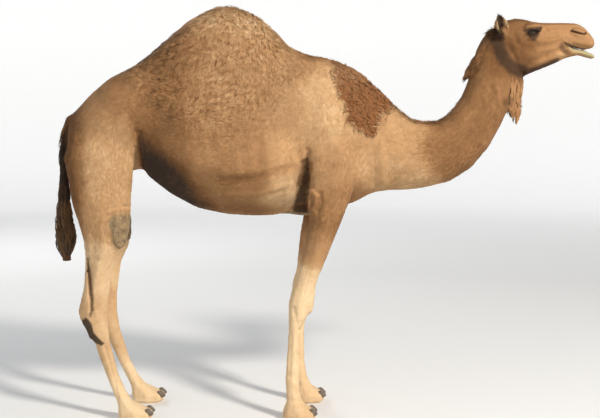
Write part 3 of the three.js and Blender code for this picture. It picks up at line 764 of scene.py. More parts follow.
def maths(tree, operation, first, second=0.0, third=None, clamp=False):
    """Works out one sum on sockets or plain numbers, and returns the socket that gives it."""
    made = tree.nodes.new("ShaderNodeMath")
    made.operation = operation
    made.use_clamp = clamp
    for index, value in enumerate((first, second, third)):
        if value is None:
            continue
        if isinstance(value, (int, float)):
            made.inputs[index].default_value = value
        else:
            tree.links.new(value, made.inputs[index])
    return made.outputs[0]


def tint(tree, share, below, above, blend="MIX"):
    """Mixes two colours by a share; each may be a socket or a plain colour."""
    made = tree.nodes.new("ShaderNodeMix")
    made.data_type = "RGBA"
    made.blend_type = blend
    for index, value in ((0, share), (6, below), (7, above)):
        if isinstance(value, (int, float)):
            made.inputs[index].default_value = value
        elif isinstance(value, tuple):
            made.inputs[index].default_value = (*value, 1)
        else:
            tree.links.new(value, made.inputs[index])
    return made.outputs[2]


tree = coat_colours
group_in = tree.nodes.new("NodeGroupInput")
group_out = tree.nodes.new("NodeGroupOutput")
where = node(tree, "ShaderNodeTexCoord")
tones = node(tree, "ShaderNodeAttribute", attribute_name="coat_tones")
bare = node(tree, "ShaderNodeAttribute", attribute_name="bare_skin")
tone_parts = node(tree, "ShaderNodeSeparateColor", [("Color", tones.outputs["Color"])])
bare_and_shade_parts = node(tree, "ShaderNodeSeparateColor", [("Color", bare.outputs["Color"])])


def noise(tree, place, scale, detail, **settings):
    """Soft random patches over the surface."""
    return node(tree, "ShaderNodeTexNoise", [("Vector", place)], in_Scale=scale, in_Detail=detail, **settings)


def swing(tree, value, size):
    """A share from 0 to 1 made a change about 0, of the given size."""
    return maths(tree, "MULTIPLY", maths(tree, "SUBTRACT", value, 0.5), size)


# The tone, shifted by soft patches and flecks, is looked up in a row of coat colours
tone_mark, wool_mark, cape_mark = tone_parts.outputs[:3]
horn_mark, lip_mark, dark_mark = bare_and_shade_parts.outputs[:3]
broad = noise(tree, where.outputs["Object"], 9.0, 3.0).outputs["Fac"]
patches = noise(tree, where.outputs["Object"], 38.0, 3.0, in_Roughness=0.6)
patchy = patches.outputs["Fac"]
fine = noise(tree, where.outputs["Object"], 210.0, 2.0).outputs["Fac"]
shift = maths(tree, "MULTIPLY_ADD", broad, 0.22, -0.11)
patch_size = maths(tree, "MULTIPLY_ADD", wool_mark, 0.30, 0.14)
shift = maths(tree, "ADD", shift, swing(tree, patchy, patch_size))
shift = maths(tree, "ADD", shift, swing(tree, fine, group_in.outputs["Mottle"]))
tone_value = maths(tree, "ADD", tone_mark, shift, clamp=True)
ramp = node(tree, "ShaderNodeValToRGB", [("Fac", tone_value)])
RAMP = [
    (0.0, (0.050, 0.032, 0.022)),   # umber
    (0.25, (0.200, 0.092, 0.034)),  # brown
    (0.5, (0.370, 0.193, 0.083)),   # tan
    (0.75, (0.540, 0.320, 0.155)),  # pale
    (1.0, (0.800, 0.590, 0.355)),   # cream
]
while len(ramp.color_ramp.elements) < len(RAMP):
    ramp.color_ramp.elements.new(0.5)
for stop, (place, colour) in zip(ramp.color_ramp.elements, RAMP):
    stop.position = place
    stop.color = (*colour, 1)

# The cape's red-brown, with a broken edge
cape_edge = maths(tree, "MULTIPLY_ADD", maths(tree, "SUBTRACT", patchy, 0.5), 0.9, cape_mark, clamp=True)
cape_edge = maths(tree, "SMOOTH_MIN", cape_edge, maths(tree, "MULTIPLY", cape_mark, 3.0), 0.05, clamp=True)
cape_colour = tint(tree, patchy, (0.200, 0.080, 0.028), (0.370, 0.160, 0.062))
colour = tint(tree, cape_edge, ramp.outputs["Color"], cape_colour)

# Horn in grey-brown patches, parted by bent cracks
stretch = node(tree, "ShaderNodeMapping", [("Vector", where.outputs["Object"])], in_Scale=(1.0, 1.0, 2.2))
bend = node(tree, "ShaderNodeVectorMath", [(0, patches.outputs["Color"]), (2, stretch.outputs[0])],
            operation="MULTIPLY_ADD", in_1=(0.03, 0.03, 0.03))
cracks = node(tree, "ShaderNodeTexVoronoi", [("Vector", bend.outputs[0])], in_Scale=17.0, feature="DISTANCE_TO_EDGE")
crack = maths(tree, "SMOOTH_MIN", maths(tree, "MULTIPLY", cracks.outputs["Distance"], 11.0), 1.0, 0.1, clamp=True)
horn_patch = maths(tree, "MULTIPLY_ADD", patchy, 2.4, -0.7, clamp=True)
horn_colour = tint(tree, horn_patch, (0.150, 0.104, 0.060), (0.365, 0.248, 0.128))
horn_colour = tint(tree, maths(tree, "MULTIPLY_ADD", crack, 0.30, 0.70), (0.075, 0.052, 0.032), horn_colour)
colour = tint(tree, horn_mark, colour, horn_colour)
colour = tint(tree, lip_mark, colour, (0.400, 0.335, 0.175))
# near-black where the dark share is set: dark skin and hair, and painted shade in folds, hollows and along the jaw
colour = tint(tree, dark_mark, colour, (0.036, 0.021, 0.013))
# painted shade: the fourth share of the tones darkens the tufts at their roots
colour = tint(tree, 1.0, colour, tones.outputs["Alpha"], blend="MULTIPLY")
crack_depth = maths(tree, "MULTIPLY", horn_mark, -0.45)
height = maths(tree, "MULTIPLY", maths(tree, "SUBTRACT", 1.0, crack), crack_depth)
height = maths(tree, "ADD", height, maths(tree, "MULTIPLY", fine, 0.5))
roughened = maths(tree, "MULTIPLY_ADD", wool_mark, 1.6, 0.4)
height = maths(tree, "ADD", height, maths(tree, "MULTIPLY", patchy, roughened))
tree.links.new(colour, group_out.inputs["Colour"])
tree.links.new(height, group_out.inputs["Height"])


def new_look(name, **values):
    """A new material with plain values on its shader. Returns it, its nodes and its shader."""
    look = bpy.data.materials.new(name)
    look.use_nodes = True
    surface = look.node_tree.nodes["Principled BSDF"]
    for socket, value in values.items():
        surface.inputs[socket.replace("_", " ")].default_value = value
    return look, look.node_tree, surface


def coat_material(name, mottle, roughness, bump, sheen):
    """A material of hide or hair in the shared colours."""
    look, tree, surface = new_look(name, Roughness=roughness, Specular_IOR_Level=0.15, Sheen_Weight=sheen,
                                   Sheen_Roughness=0.5)
    colours = node(tree, "ShaderNodeGroup", node_tree=coat_colours, in_Mottle=mottle)
    tree.links.new(colours.outputs["Colour"], surface.inputs["Base Color"])
    bumps = node(tree, "ShaderNodeBump", [("Height", colours.outputs["Height"])], in_Strength=bump, in_Distance=0.004)
    tree.links.new(bumps.outputs["Normal"], surface.inputs["Normal"])
    return look


hide.data.materials.clear()
hide.data.materials.append(coat_material("hide", 0.12, 0.82, 0.45, 0.05))
flesh = [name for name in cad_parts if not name.startswith("eye_") and "_nail_" not in name]
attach(hide, "root")
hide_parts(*flesh)

# ---------------------------------------------------------------- the eyes
# Large dark eyes with a wide level pupil, wet under the lids. Each is a ball with a bulging cornea, set
# behind its lids, and its colours are drawn on the ball's front, in millimetres from the middle.
EYE_GAZE = Vector((0.16, 1.0, 0.03)).normalized()
EYE_RADIUS = 0.0225
LID_ROOM = 0.0003
CORNEA_RIM, CORNEA_BULGE = 0.75, 0.0022
for side, name in ((-1, "eye_right"), (1, "eye_left")):
    gaze = Vector((EYE_GAZE.x, EYE_GAZE.y * side, EYE_GAZE.z))
    forward = (Vector((1, 0, -0.1)) - gaze * gaze.dot(Vector((1, 0, -0.1)))).normalized()
    upward = forward.cross(gaze) if side == -1 else gaze.cross(forward)
    ball = bmesh.new()
    bmesh.ops.create_uvsphere(ball, u_segments=64, v_segments=48, radius=EYE_RADIUS - LID_ROOM)
    for vert in ball.verts:
        out = vert.co.normalized().dot(gaze)
        if out > CORNEA_RIM:
            vert.co += gaze * (CORNEA_BULGE * ((out - CORNEA_RIM) / (1 - CORNEA_RIM)) ** 2)
    bmesh.ops.translate(ball, vec=EYE_PLACE * (1, side, 1), verts=ball.verts)
    eyeball = cast(ball, name + "_ball")
    eyeball.shade_smooth()
    offsets = read_points(eyeball) - EYE_PLACE * (1, side, 1)
    facing = np.stack([offsets @ np.array(way) for way in (forward, upward, gaze)], axis=1)
    seen = eyeball.attributes.new("eye_front", "FLOAT_VECTOR", "POINT")
    seen.data.foreach_set("vector", (facing * 1000).astype(np.float32).ravel())
    eye = put_in_scene(name + "_ball", eyeball)
    look, tree, surface = new_look(name + "_wet", Roughness=0.22, Specular_IOR_Level=0.2, Coat_Weight=0.55,
                                   Coat_Roughness=0.03)
    front = node(tree, "ShaderNodeAttribute", attribute_name="eye_front")
    ahead, above, _ = node(tree, "ShaderNodeSeparateXYZ", [("Vector", front.outputs["Vector"])]).outputs
    flat_front = node(tree, "ShaderNodeCombineXYZ", [("X", ahead), ("Y", above)]).outputs[0]
    from_middle = node(tree, "ShaderNodeVectorMath", [(0, flat_front)], operation="LENGTH").outputs["Value"]
    angle = maths(tree, "ARCTAN2", above, ahead)
    round_iris, across_iris = maths(tree, "MULTIPLY", angle, 9.0), maths(tree, "MULTIPLY", from_middle, 0.12)
    streak_place = node(tree, "ShaderNodeCombineXYZ", [("X", round_iris), ("Y", across_iris)]).outputs[0]
    streaks = noise(tree, streak_place, 1.0, 3.0).outputs["Fac"]
    iris = tint(tree, streaks, (0.018, 0.008, 0.004), (0.065, 0.030, 0.012))
    edge = node(tree, "ShaderNodeMapRange", [("Value", from_middle)], in_1=11.0, in_2=14.0)
    colour = tint(tree, edge.outputs[0], iris, (0.020, 0.012, 0.009))
    white = node(tree, "ShaderNodeMapRange", [("Value", from_middle)], in_1=15.5, in_2=19.0)
    colour = tint(tree, maths(tree, "MULTIPLY", white.outputs[0], 0.6), colour, (0.150, 0.100, 0.075))
    slot_ahead = maths(tree, "DIVIDE", ahead, 2.2)
    slot_place = node(tree, "ShaderNodeCombineXYZ", [("X", slot_ahead), ("Y", above)]).outputs[0]
    slot_size = node(tree, "ShaderNodeVectorMath", [(0, slot_place)], operation="LENGTH").outputs["Value"]
    pupil = node(tree, "ShaderNodeMapRange", [("Value", slot_size)], in_1=3.4, in_2=2.8)
    colour = tint(tree, pupil.outputs[0], colour, (0.004, 0.003, 0.003))
    tree.links.new(colour, surface.inputs["Base Color"])
    eyeball.materials.append(look)
    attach(eye, "root")
    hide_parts(name)

# ---------------------------------------------------------------- the nails
# Two blunt nails of grey-brown horn at the front of each foot, ringed by growth and worn at the tip.
# Each is a ball pressed into a wedge with a flat sole, and the hide is drawn round its root.
nail_look, tree, surface = new_look("nail_horn")
where = node(tree, "ShaderNodeTexCoord")
rings = node(tree, "ShaderNodeTexWave", [("Vector", where.outputs["Object"])],
             in_Scale=85.0, in_Distortion=2.5, in_Detail=2.0)
cloud = noise(tree, where.outputs["Object"], 60.0, 4.0).outputs["Fac"]
nail_colour = tint(tree, cloud, (0.040, 0.030, 0.022), (0.190, 0.140, 0.095))
nail_colour = tint(tree, maths(tree, "MULTIPLY", rings.outputs["Fac"], 0.35), nail_colour, (0.260, 0.205, 0.150))
tree.links.new(nail_colour, surface.inputs["Base Color"])
tree.links.new(maths(tree, "MULTIPLY_ADD", cloud, 0.3, 0.35), surface.inputs["Roughness"])
nail_bump = node(tree, "ShaderNodeBump", [("Height", rings.outputs["Fac"])], in_Strength=0.3, in_Distance=0.0012)
tree.links.new(nail_bump.outputs["Normal"], surface.inputs["Normal"])
SOLE = -0.72
for name in NAILS:
    low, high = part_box(name)
    middle, half = (low + high) / 2, (high - low) / 2
    horn_mesh = bmesh.new()
    bmesh.ops.create_uvsphere(horn_mesh, u_segments=32, v_segments=24, radius=1.0)
    for vert in horn_mesh.verts:
        tip = between(vert.co.x, -0.2, 1.0)
        back = between(-vert.co.x, 0.0, 1.0)
        vert.co.y *= 1 - 0.30 * tip
        vert.co.z = vert.co.z * (1 - 0.35 * tip) - 0.30 * tip + 0.10 * back
        if vert.co.z < SOLE:
            vert.co.z = SOLE + (vert.co.z - SOLE) * 0.3
        vert.co = Vector([m + v * h for m, v, h in zip(middle, vert.co, half)])
    nail_mesh = cast(horn_mesh, name + "_horn")
    nail_mesh.shade_smooth()
    nail_mesh.materials.append(nail_look)
    nail = put_in_scene(name + "_horn", nail_mesh)
    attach(nail, "root")
    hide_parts(name)

# ---------------------------------------------------------------- the lie of the coat
# The hair grows from the nose back over the face, down the neck and shoulder, back along the flank,
# out from the crown of the hump, and down the legs. Every tuft is rooted in the hide and follows it.
LIE = [
    # x, z, and the way the hair lies there
    (1.38, 1.97, -1, 0.1), (1.25, 2.00, -1, 0.05), (1.12, 2.02, -1, 0.25), (1.00, 2.04, -1, 0.1),
    (1.14, 1.92, -1, -0.15), (1.02, 1.90, -0.8, -0.6), (1.22, 1.88, -1, 0.0), (0.90, 1.95, -0.5, -0.9),
    (0.84, 1.80, -0.3, -1), (0.95, 1.72, -0.1, -1), (0.88, 1.58, -0.5, -0.9), (0.72, 1.46, -0.9, -0.6),
    (0.55, 1.38, -1, -0.25), (0.50, 1.28, -1, 0.0), (0.40, 1.50, -0.9, -0.5), (0.32, 1.30, -0.6, -0.8),
    (0.20, 1.70, -0.7, -0.7), (0.15, 1.50, -0.5, -0.9), (0.05, 1.30, -0.3, -1), (0.05, 1.10, -0.1, -1),
    (-0.10, 1.60, -0.7, -0.7), (-0.20, 1.35, -0.9, -0.5), (-0.20, 1.15, -1, -0.2), (-0.50, 1.13, -1, -0.1),
    (-0.75, 1.20, -1, 0.2), (-0.45, 1.45, -0.95, -0.4), (-0.75, 1.45, -0.95, -0.3), (-0.20, 1.88, 0.2, -0.9),
    (-0.45, 1.75, -0.5, -0.9), (-0.50, 1.98, -0.3, -0.9), (-0.70, 1.95, -0.8, -0.6), (-0.85, 1.72, -0.9, -0.45),
    (-1.05, 1.62, -0.8, -0.6), (-1.20, 1.45, -0.2, -1), (-1.08, 1.35, -0.1, -1), (-0.95, 1.40, 0.1, -1),
    (-1.08, 1.10, 0.0, -1), (-1.14, 0.80, 0.0, -1), (-1.15, 0.55, 0.1, -1), (-1.07, 0.30, 0.2, -1),
    (-0.98, 0.08, 0.6, -0.8), (0.02, 0.95, -0.2, -1), (-0.08, 0.70, -0.1, -1), (-0.12, 0.45, 0, -1),
    (-0.13, 0.20, 0, -1), (-0.08, 0.07, 0.5, -0.8), (-1.35, 1.30, 0, -1), (-1.35, 1.00, 0, -1),
]


def unit(vectors):
    """The same ways, each 1 long."""
    return vectors / np.maximum(np.linalg.norm(vectors, axis=1), 1e-9)[:, None]


def lie(points, normals, stray, pick):
    """The way the hair lies at each point, along the hide, strayed by an angle that drifts over the body."""
    way = np.zeros_like(points)
    for x, z, along, up in LIE:
        share = 1 / ((points[:, 0] - x) ** 2 + (points[:, 2] - z) ** 2 + 0.004) ** 2
        length = math.hypot(along, up)
        way[:, 0] += share * along / length
        way[:, 2] += share * up / length
    way = unit(way)
    for side in (-1, 1):
        local, axes = on_the_ear(points, side)
        on_ear = (np.linalg.norm(local[:, :2], axis=1) < 0.045) & (local[:, 2] > 0.012) & (local[:, 2] < 0.13)
        way[on_ear] = axes[:, 2]
    way[:, 1] += 0.8 * np.sign(points[:, 1]) * np.clip(normals[:, 2], 0, 1) ** 2
    way = unit(way - normals * (way * normals).sum(1)[:, None])
    turn = stray * (drift(points, 0.11, 11) + 0.6 * drift(points, 0.04, 12) + 0.5 * pick.normal(size=len(points)))
    return way * np.cos(turn)[:, None] + np.cross(normals, way) * np.sin(turn)[:, None]


# An unwrap of a simple copy of the hide gives every tuft its own place in the coat's map
unwrap_mesh = hide.data.copy()
unwrap = put_in_scene("unwrap", unwrap_mesh)
simple = unwrap.modifiers.new("simple", "DECIMATE")
simple.ratio = 0.06
work_in(unwrap)
simple_mesh = unwrap.data
bpy.context.view_layer.objects.active = unwrap
unwrap.select_set(True)
bpy.ops.object.mode_set(mode="EDIT")
bpy.ops.mesh.select_all(action="SELECT")
bpy.ops.mesh.quads_convert_to_tris()
bpy.ops.uv.smart_project(angle_limit=math.radians(66), island_margin=0.004)
bpy.ops.object.mode_set(mode="OBJECT")
simple_points = read_points(simple_mesh)
simple_corners = np.empty(len(simple_mesh.loops), np.int32)
simple_mesh.loops.foreach_get("vertex_index", simple_corners)
simple_corners = simple_corners.reshape(-1, 3)
simple_uv = np.empty(len(simple_mesh.loops) * 2, np.float32)
simple_mesh.uv_layers.active.data.foreach_get("uv", simple_uv)
simple_uv = simple_uv.reshape(-1, 3, 2)
simple_tree = BVHTree.FromPolygons(simple_points.tolist(), simple_corners.tolist())
bpy.data.objects.remove(unwrap)
bpy.data.meshes.remove(simple_mesh)
bpy.data.meshes.remove(unwrap_mesh)


def place_on_map(roots):
    """The place of each root on the unwrapped hide."""
    found = [simple_tree.find_nearest(root) for root in roots.tolist()]
    spots = np.array([spot for spot, _, _, _ in found])
    faces = np.array([face for _, _, face, _ in found])
    a, b, c = simple_points[simple_corners[faces]].transpose(1, 0, 2)
    whole = np.cross(b - a, c - a)
    size = np.maximum((whole * whole).sum(1), 1e-18)
    second = np.clip((np.cross(spots - a, c - a) * whole).sum(1) / size, 0, 1)
    third = np.clip((np.cross(b - a, spots - a) * whole).sum(1) / size, 0, 1)
    shares = np.stack([1 - second - third, second, third], axis=1)[:, :, None]
    return (simple_uv[faces] * shares).sum(1)


hide.data.calc_loop_triangles()
skin_corners = np.empty(len(hide.data.loop_triangles) * 3, np.int32)
hide.data.loop_triangles.foreach_get("vertices", skin_corners)
skin_corners = skin_corners.reshape(-1, 3)
skin_points, skin_normals = read_points(hide.data), read_normals(hide.data)
a, b, c = skin_points[skin_corners].transpose(1, 0, 2)
skin_area = np.linalg.norm(np.cross(b - a, c - a), axis=1) / 2
skin_middle = (a + b + c) / 3
skin_facing = unit(skin_normals[skin_corners].sum(1))
x, y, z = skin_middle.T
on_head = between(along_head(x, z), 0.90, 0.96) * between(z, 1.72, 1.80)
on_tuft = between(-x, 1.280, 1.290) * between(-np.abs(y), -0.060, -0.052) * between(-z, -1.19, -1.15)
on_dock = between(-x, 1.308, 1.320) * between(-np.abs(y), -0.042, -0.034) * between(-z, -1.56, -1.50)
on_tail = np.maximum(on_tuft, on_dock)
on_legs = between(-z, -1.05, -0.90) * (1 - on_tail)
near_eye = np.linalg.norm((np.stack([x, np.abs(y), z], axis=1) - EYE_PLACE), axis=1)
haired = 1 - between(horn(skin_middle, skin_facing), 0.1, 0.4)
haired = haired * between(z, 0.018, 0.030) * between(near_eye, 0.030, 0.033)
haired = haired * between(from_line(skin_middle, MOUTH_LINE + [(1.43, 1.893)]), 0.004, 0.008)
haired = haired * between(from_path(skin_middle, NOSTRIL, flat=True), 0.003, 0.006)
on_wool = between(wool(skin_middle), 0.25, 0.75) * (1 - on_head)
on_cape = cape(skin_middle)
on_nape = between(z, 1.785, 1.805) * np.exp(-((x - 0.80) / 0.07) ** 2 - ((z - 1.89) / 0.11) ** 2)
on_nape = on_nape * between(0.88 - x + 0.45 * (z - 1.9), 0.0, 0.05) * between(-np.abs(y), -0.06, -0.03)
on_beard = between(x, 0.965, 0.985) * between(-z, -1.775, -1.735) * (z > 1.5)


def scatter(count, chance, pick):
    """Roots spread at random over the hide, more of them where the chance is higher."""
    share = skin_area * chance
    chosen = pick.choice(len(share), count, p=share / share.sum())
    second, third = pick.random((2, count))
    over = second + third > 1
    second[over], third[over] = 1 - second[over], 1 - third[over]
    shares = np.stack([1 - second - third, second, third], axis=1)[:, :, None]
    corners = skin_corners[chosen]
    return (skin_points[corners] * shares).sum(1), unit((skin_normals[corners] * shares).sum(1))


def gather(roots, ways, lengths, clumps, pull, pick):
    """Draws the tips of tufts together into clumps; returns their ways and the number of each one's clump."""
    chiefs = pick.choice(len(roots), clumps, replace=False)
    tree = KDTree(clumps)
    for number, chief in enumerate(chiefs):
        tree.insert(roots[chief], number)
    tree.balance()
    own = np.array([tree.find(root)[1] for root in roots.tolist()])
    chief = chiefs[own]
    meeting = roots[chief] + ways[chief] * lengths[chief][:, None] * 1.1
    return unit(ways + unit(meeting - roots) * pull), own


def flakes(roots, normals, ways, lengths, widths, rises):
    """Flat pointed tufts of four faces. Returns points, faces, and across and along from 0 to 1, per tuft."""
    ways = unit(ways - normals * (ways * normals).sum(1)[:, None])
    aside = np.cross(normals, ways) * (widths / 2)[:, None]
    low = roots - normals * 0.0007
    ridge = roots + ways * (lengths * 0.30)[:, None] + normals * (rises * 0.5 + widths * 0.20)[:, None]
    tip = roots + ways * lengths[:, None] + normals * rises[:, None]
    points = np.stack([low - aside, low + aside, ridge, tip], axis=1)
    faces = np.array([[1, 2, 3], [0, 3, 2], [0, 2, 1], [0, 1, 3]])
    return points, faces, np.array([0.0, 1.0, 0.5, 0.5]), np.array([0.0, 0.0, 0.3, 1.0])


def locks(roots, normals, ways, lengths, widths, rises, wave, turns, rings, pick, flat=0.5, hang=0.0, bow=0.0):
    """Curved pointed locks, three-sided and closed. They rise off the hide, or with bow come back to it,
    swing by the wave as often as the turns say, and sag by hang. Returns the same as flakes."""
    ways = unit(ways - normals * (ways * normals).sum(1)[:, None])
    aside = np.cross(normals, ways)
    count = len(roots)
    phase = pick.uniform(0, 2 * math.pi, count)
    spine = []
    for t in np.linspace(0, 1, rings + 1):
        curl = 2 * math.pi * turns * t + phase
        grown = wave * min(t * 2.5, 1.0)
        spot = roots - normals * 0.001 + ways * (lengths * t)[:, None]
        arch = (1.7 * t - 0.7 * t * t) * (1 - bow) + 4 * t * (1 - t) * bow
        spot = spot + normals * (rises * arch + grown * 0.45 * (np.cos(curl) + 0.4) * t)[:, None]
        spot = spot + aside * (grown * (np.sin(curl) - np.sin(phase)))[:, None]
        spot[:, 2] -= hang * t * t * lengths
        spine.append(spot)
    points = []
    for ring in range(rings):
        along = unit(spine[ring + 1] - spine[max(ring - 1, 0)])
        side = unit(np.cross(normals, along))
        up = np.cross(along, side)
        t = ring / rings
        half = widths / 2 * (0.55 + 1.8 * t if t < 0.25 else 1.0 - ((t - 0.25) / 0.75) ** 1.6 * 0.85)
        for corner in range(3):
            turn = math.pi / 2 + corner * 2 * math.pi / 3
            spot = spine[ring] + side * (half * math.cos(turn))[:, None]
            points.append(spot + up * (half * flat * math.sin(turn))[:, None])
    points.append(spine[-1])
    faces = [[0, 2, 1]]
    for ring in range(rings - 1):
        for corner in range(3):
            first, second = ring * 3 + corner, ring * 3 + (corner + 1) % 3
            faces += [[first, second, second + 3], [first, second + 3, first + 3]]
    last = (rings - 1) * 3
    faces += [[last + corner, last + (corner + 1) % 3, last + 3] for corner in range(3)]
    across = np.array([[0.5, 0.0, 1.0][corner] for _ in range(rings) for corner in range(3)] + [0.5])
    along = np.array([ring / rings for ring in range(rings) for _ in range(3)] + [1.0])
    return np.stack(points, axis=1), np.array(faces), across, along


COAT_PATCH = 0.003
GROUND = 0.001
coat_look = coat_material("coat_hair", 0.06, 0.80, 0.20, 0.05)


def coat_piece(name, slot, softness, *growths):
    """Joins growths of tufts into one mesh with their markings and their places on the map. Light falls on
    the tufts as on the body under them, by the share called softness. A growth is its tufts, their roots
    and normals, their change of tone, the shade at the root, and None or a forced tone, lip and dark."""
    all_points, all_faces, all_looks, all_maps, all_normals, offset = [], [], [], [], [], 0
    for (points, faces, across, along), roots, normals, change, shade, forced in growths:
        count, corners = points.shape[:2]
        tone, wooly, caped, _, lip, dark = markings(roots, normals)
        if forced is not None:
            tone, lip, dark = (np.broadcast_to(value, count) for value in forced)
        tone = np.clip(tone + change, 0, 1)
        # painted shade: each tuft darker at its root, a little lighter at its tip
        light = np.tile(shade + (1.06 - shade) * along, count)
        tone, wooly, caped, lip, dark = (np.repeat(value, corners) for value in (tone, wooly, caped, lip, dark))
        all_looks.append(np.stack([tone, wooly, caped, light, np.zeros(count * corners), lip, dark]))
        spots = place_on_map(roots)[:, None, :] + (np.stack([across, along], axis=1) - 0.5)[None] * COAT_PATCH
        all_maps.append(spots.reshape(-1, 2))
        all_faces.append((faces[None] + (np.arange(count) * corners)[:, None, None]).reshape(-1, 3) + offset)
        all_points.append(points.reshape(-1, 3))
        all_normals.append(np.repeat(normals, corners, axis=0))
        offset += count * corners
    points, faces = np.concatenate(all_points), np.concatenate(all_faces)
    points[:, 2] = np.maximum(points[:, 2], GROUND)
    mesh = bpy.data.meshes.new(name)
    mesh.vertices.add(len(points))
    mesh.vertices.foreach_set("co", points.astype(np.float32).ravel())
    mesh.loops.add(len(faces) * 3)
    mesh.loops.foreach_set("vertex_index", faces.astype(np.int32).ravel())
    mesh.polygons.add(len(faces))
    mesh.polygons.foreach_set("loop_start", np.arange(0, len(faces) * 3, 3, dtype=np.int32))
    mesh.update(calc_edges=True)
    mesh.shade_smooth()
    own = read_normals(mesh)
    mesh.normals_split_custom_set_from_vertices(unit(own + (np.concatenate(all_normals) - own) * softness).tolist())
    layer = mesh.uv_layers.new(name="OFBake")
    layer.data.foreach_set("uv", np.concatenate(all_maps)[faces.ravel()].astype(np.float32).ravel())
    paint(mesh, *np.concatenate(all_looks, axis=1))
    mesh.materials.append(coat_look)
    piece = put_in_scene(name, mesh)
    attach(piece, "root")


# ---------------------------------------------------------------- the short coat
# Short flat hair covers everything but wool, horn and lips: finest on face and feet, longer on the
# trunk. It is laid in small pointed tufts, close to the hide.
CLUMPING = 0.35


def short_coat(name, count, chance, length, width, seed, clumps):
    """One piece of the short coat, its tufts of the given length, and of a width that is a share of it."""
    pick = np.random.default_rng(seed)
    roots, normals = scatter(count, chance, pick)
    ways = lie(roots, normals, 0.16, pick)
    lengths = length(roots) * pick.uniform(0.7, 1.25, count)
    ways, own = gather(roots, ways, lengths, clumps, CLUMPING, pick)
    rises = coat_depth(roots) * pick.uniform(0.5, 1.2, count)
    change = pick.normal(0, 0.018, clumps)[own] + pick.normal(0, 0.022, count)
    widths = lengths * width * pick.uniform(0.8, 1.2, count)
    tufts = flakes(roots, normals, ways, lengths, widths, rises)
    coat_piece(name, "coat", 0.85, (tufts, roots, normals, change, 0.90, None))


def trunk_length(roots):
    return 0.019 - 0.003 * between(roots[:, 0], 0.5, 0.9)


def leg_length(roots):
    return 0.0075 + 0.004 * between(roots[:, 2], 0.2, 0.9)


def head_length(roots):
    x, _, z = roots.T
    return 0.0095 - 0.004 * between(x, 1.05, 1.35) - 0.005 * between(z, 2.03, 2.05) * between(-x, -0.99, -0.96)


RUMP_END, BARREL_END, LEGS_APART = -0.72, -0.02, -0.6
smooth_area = haired * (1 - 0.9 * on_wool) * (1 - 0.7 * on_cape) * (1 - on_tail)
trunk_area = smooth_area * (1 - on_head) * (1 - on_legs)
leg_area = smooth_area * on_legs
short_coat("coat_rump", 38000, trunk_area * (x < RUMP_END), trunk_length, 0.22, 21, 4200)
short_coat("coat_barrel", 38000, trunk_area * (x >= RUMP_END) * (x < BARREL_END), trunk_length, 0.22, 22, 4200)
short_coat("coat_fore", 42000, trunk_area * (x >= BARREL_END), trunk_length, 0.22, 23, 4600)
short_coat("coat_hind_legs", 30000, leg_area * (x < LEGS_APART), leg_length, 0.22, 24, 3000)
short_coat("coat_fore_legs", 24000, leg_area * (x >= LEGS_APART), leg_length, 0.22, 25, 2400)
short_coat("coat_head", 31000, smooth_area * on_head, head_length, 0.20, 26, 3200)

# ---------------------------------------------------------------- the wool of the hump
# Rough wool, matted into short clumps, covers the hump and thins out down the flank. It is laid in small
# curled locks, one piece for each side of the animal, and a few clumps are darker than the rest.
thin_wool = 0.04 * between(wool(skin_middle), 0.05, 0.3)
for name, side, seed in (("wool_right", -1, 31), ("wool_left", 1, 32)):
    pick = np.random.default_rng(seed)
    count, clumps = 16500, 2400
    roots, normals = scatter(count, haired * (thin_wool + on_wool) * (y * side > -0.001) * (z > 1.2), pick)
    ways = lie(roots, normals, 0.45, pick)
    strength = wool(roots)
    lengths = (0.016 + 0.017 * strength) * pick.uniform(0.7, 1.35, count)
    ways, own = gather(roots, ways, lengths, clumps, 1.1, pick)
    high = pick.uniform(0.5, 1.15, clumps)[own]
    rises = coat_depth(roots) * high
    fleck = pick.random(clumps) < 0.07
    change = (pick.normal(0, 0.036, clumps) - 0.13 * fleck)[own] * (0.5 + strength) + pick.normal(0, 0.03, count)
    tufts = locks(roots, normals, ways, lengths, lengths * 0.17, rises, lengths * 0.07, 1.0, 2, pick, flat=0.35)
    coat_piece(name, "wool", 0.95, (tufts, roots, normals, change, 0.89, None))

# ---------------------------------------------------------------- the cape
# Behind the neck lies a cape of tight red-brown curls with a sharp rear edge. The curls are locks with
# more than one turn, that stand higher than the coat round them.
pick = np.random.default_rng(41)
count, clumps = 7000, 1100
roots, normals = scatter(count, haired * on_cape, pick)
ways = lie(roots, normals, 0.7, pick)
lengths = 0.027 * pick.uniform(0.7, 1.4, count)
ways, own = gather(roots, ways, lengths, clumps, 0.9, pick)
rises = 0.010 * pick.uniform(0.5, 1.6, clumps)[own]
change = pick.normal(0, 0.10, clumps)[own]
tufts = locks(roots, normals, ways, lengths, lengths * 0.20, rises, lengths * 0.13, 1.2, 4, pick, flat=0.7)
coat_piece("cape", "wool", 0.65, (tufts, roots, normals, change, 0.60, None))

# ---------------------------------------------------------------- fringes of head and neck
# Longer hair hangs loose at the nape, stands along the crest of the neck, hangs from the fold under the
# throat and rims the ears. Its locks are drawn together into points.
pick = np.random.default_rng(51)
fringe = []
count, clumps = 1500, 90
roots, normals = scatter(count, on_nape, pick)
mane_tip = np.array([0.756, 0.0, 1.792])
low = between(-roots[:, 2], -1.92, -1.85)[:, None]
swept = lie(roots, normals, 0.25, pick) + np.array([-0.4, 0.0, -0.3]) * (1 - low)
ways = unit(swept + 1.5 * unit(mane_tip - roots) * low)
lengths = 0.050 * pick.uniform(0.6, 1.4, count)
ways, own = gather(roots, ways, lengths, clumps, 0.8, pick)
rises = coat_depth(roots) * pick.uniform(0.8, 1.8, clumps)[own]
tufts = locks(roots, normals, ways, lengths, lengths * 0.14, rises, lengths * 0.07, 0.8, 4, pick, hang=0.2)
fringe.append((tufts, roots, normals, pick.normal(-0.03, 0.07, clumps)[own], 0.6, None))

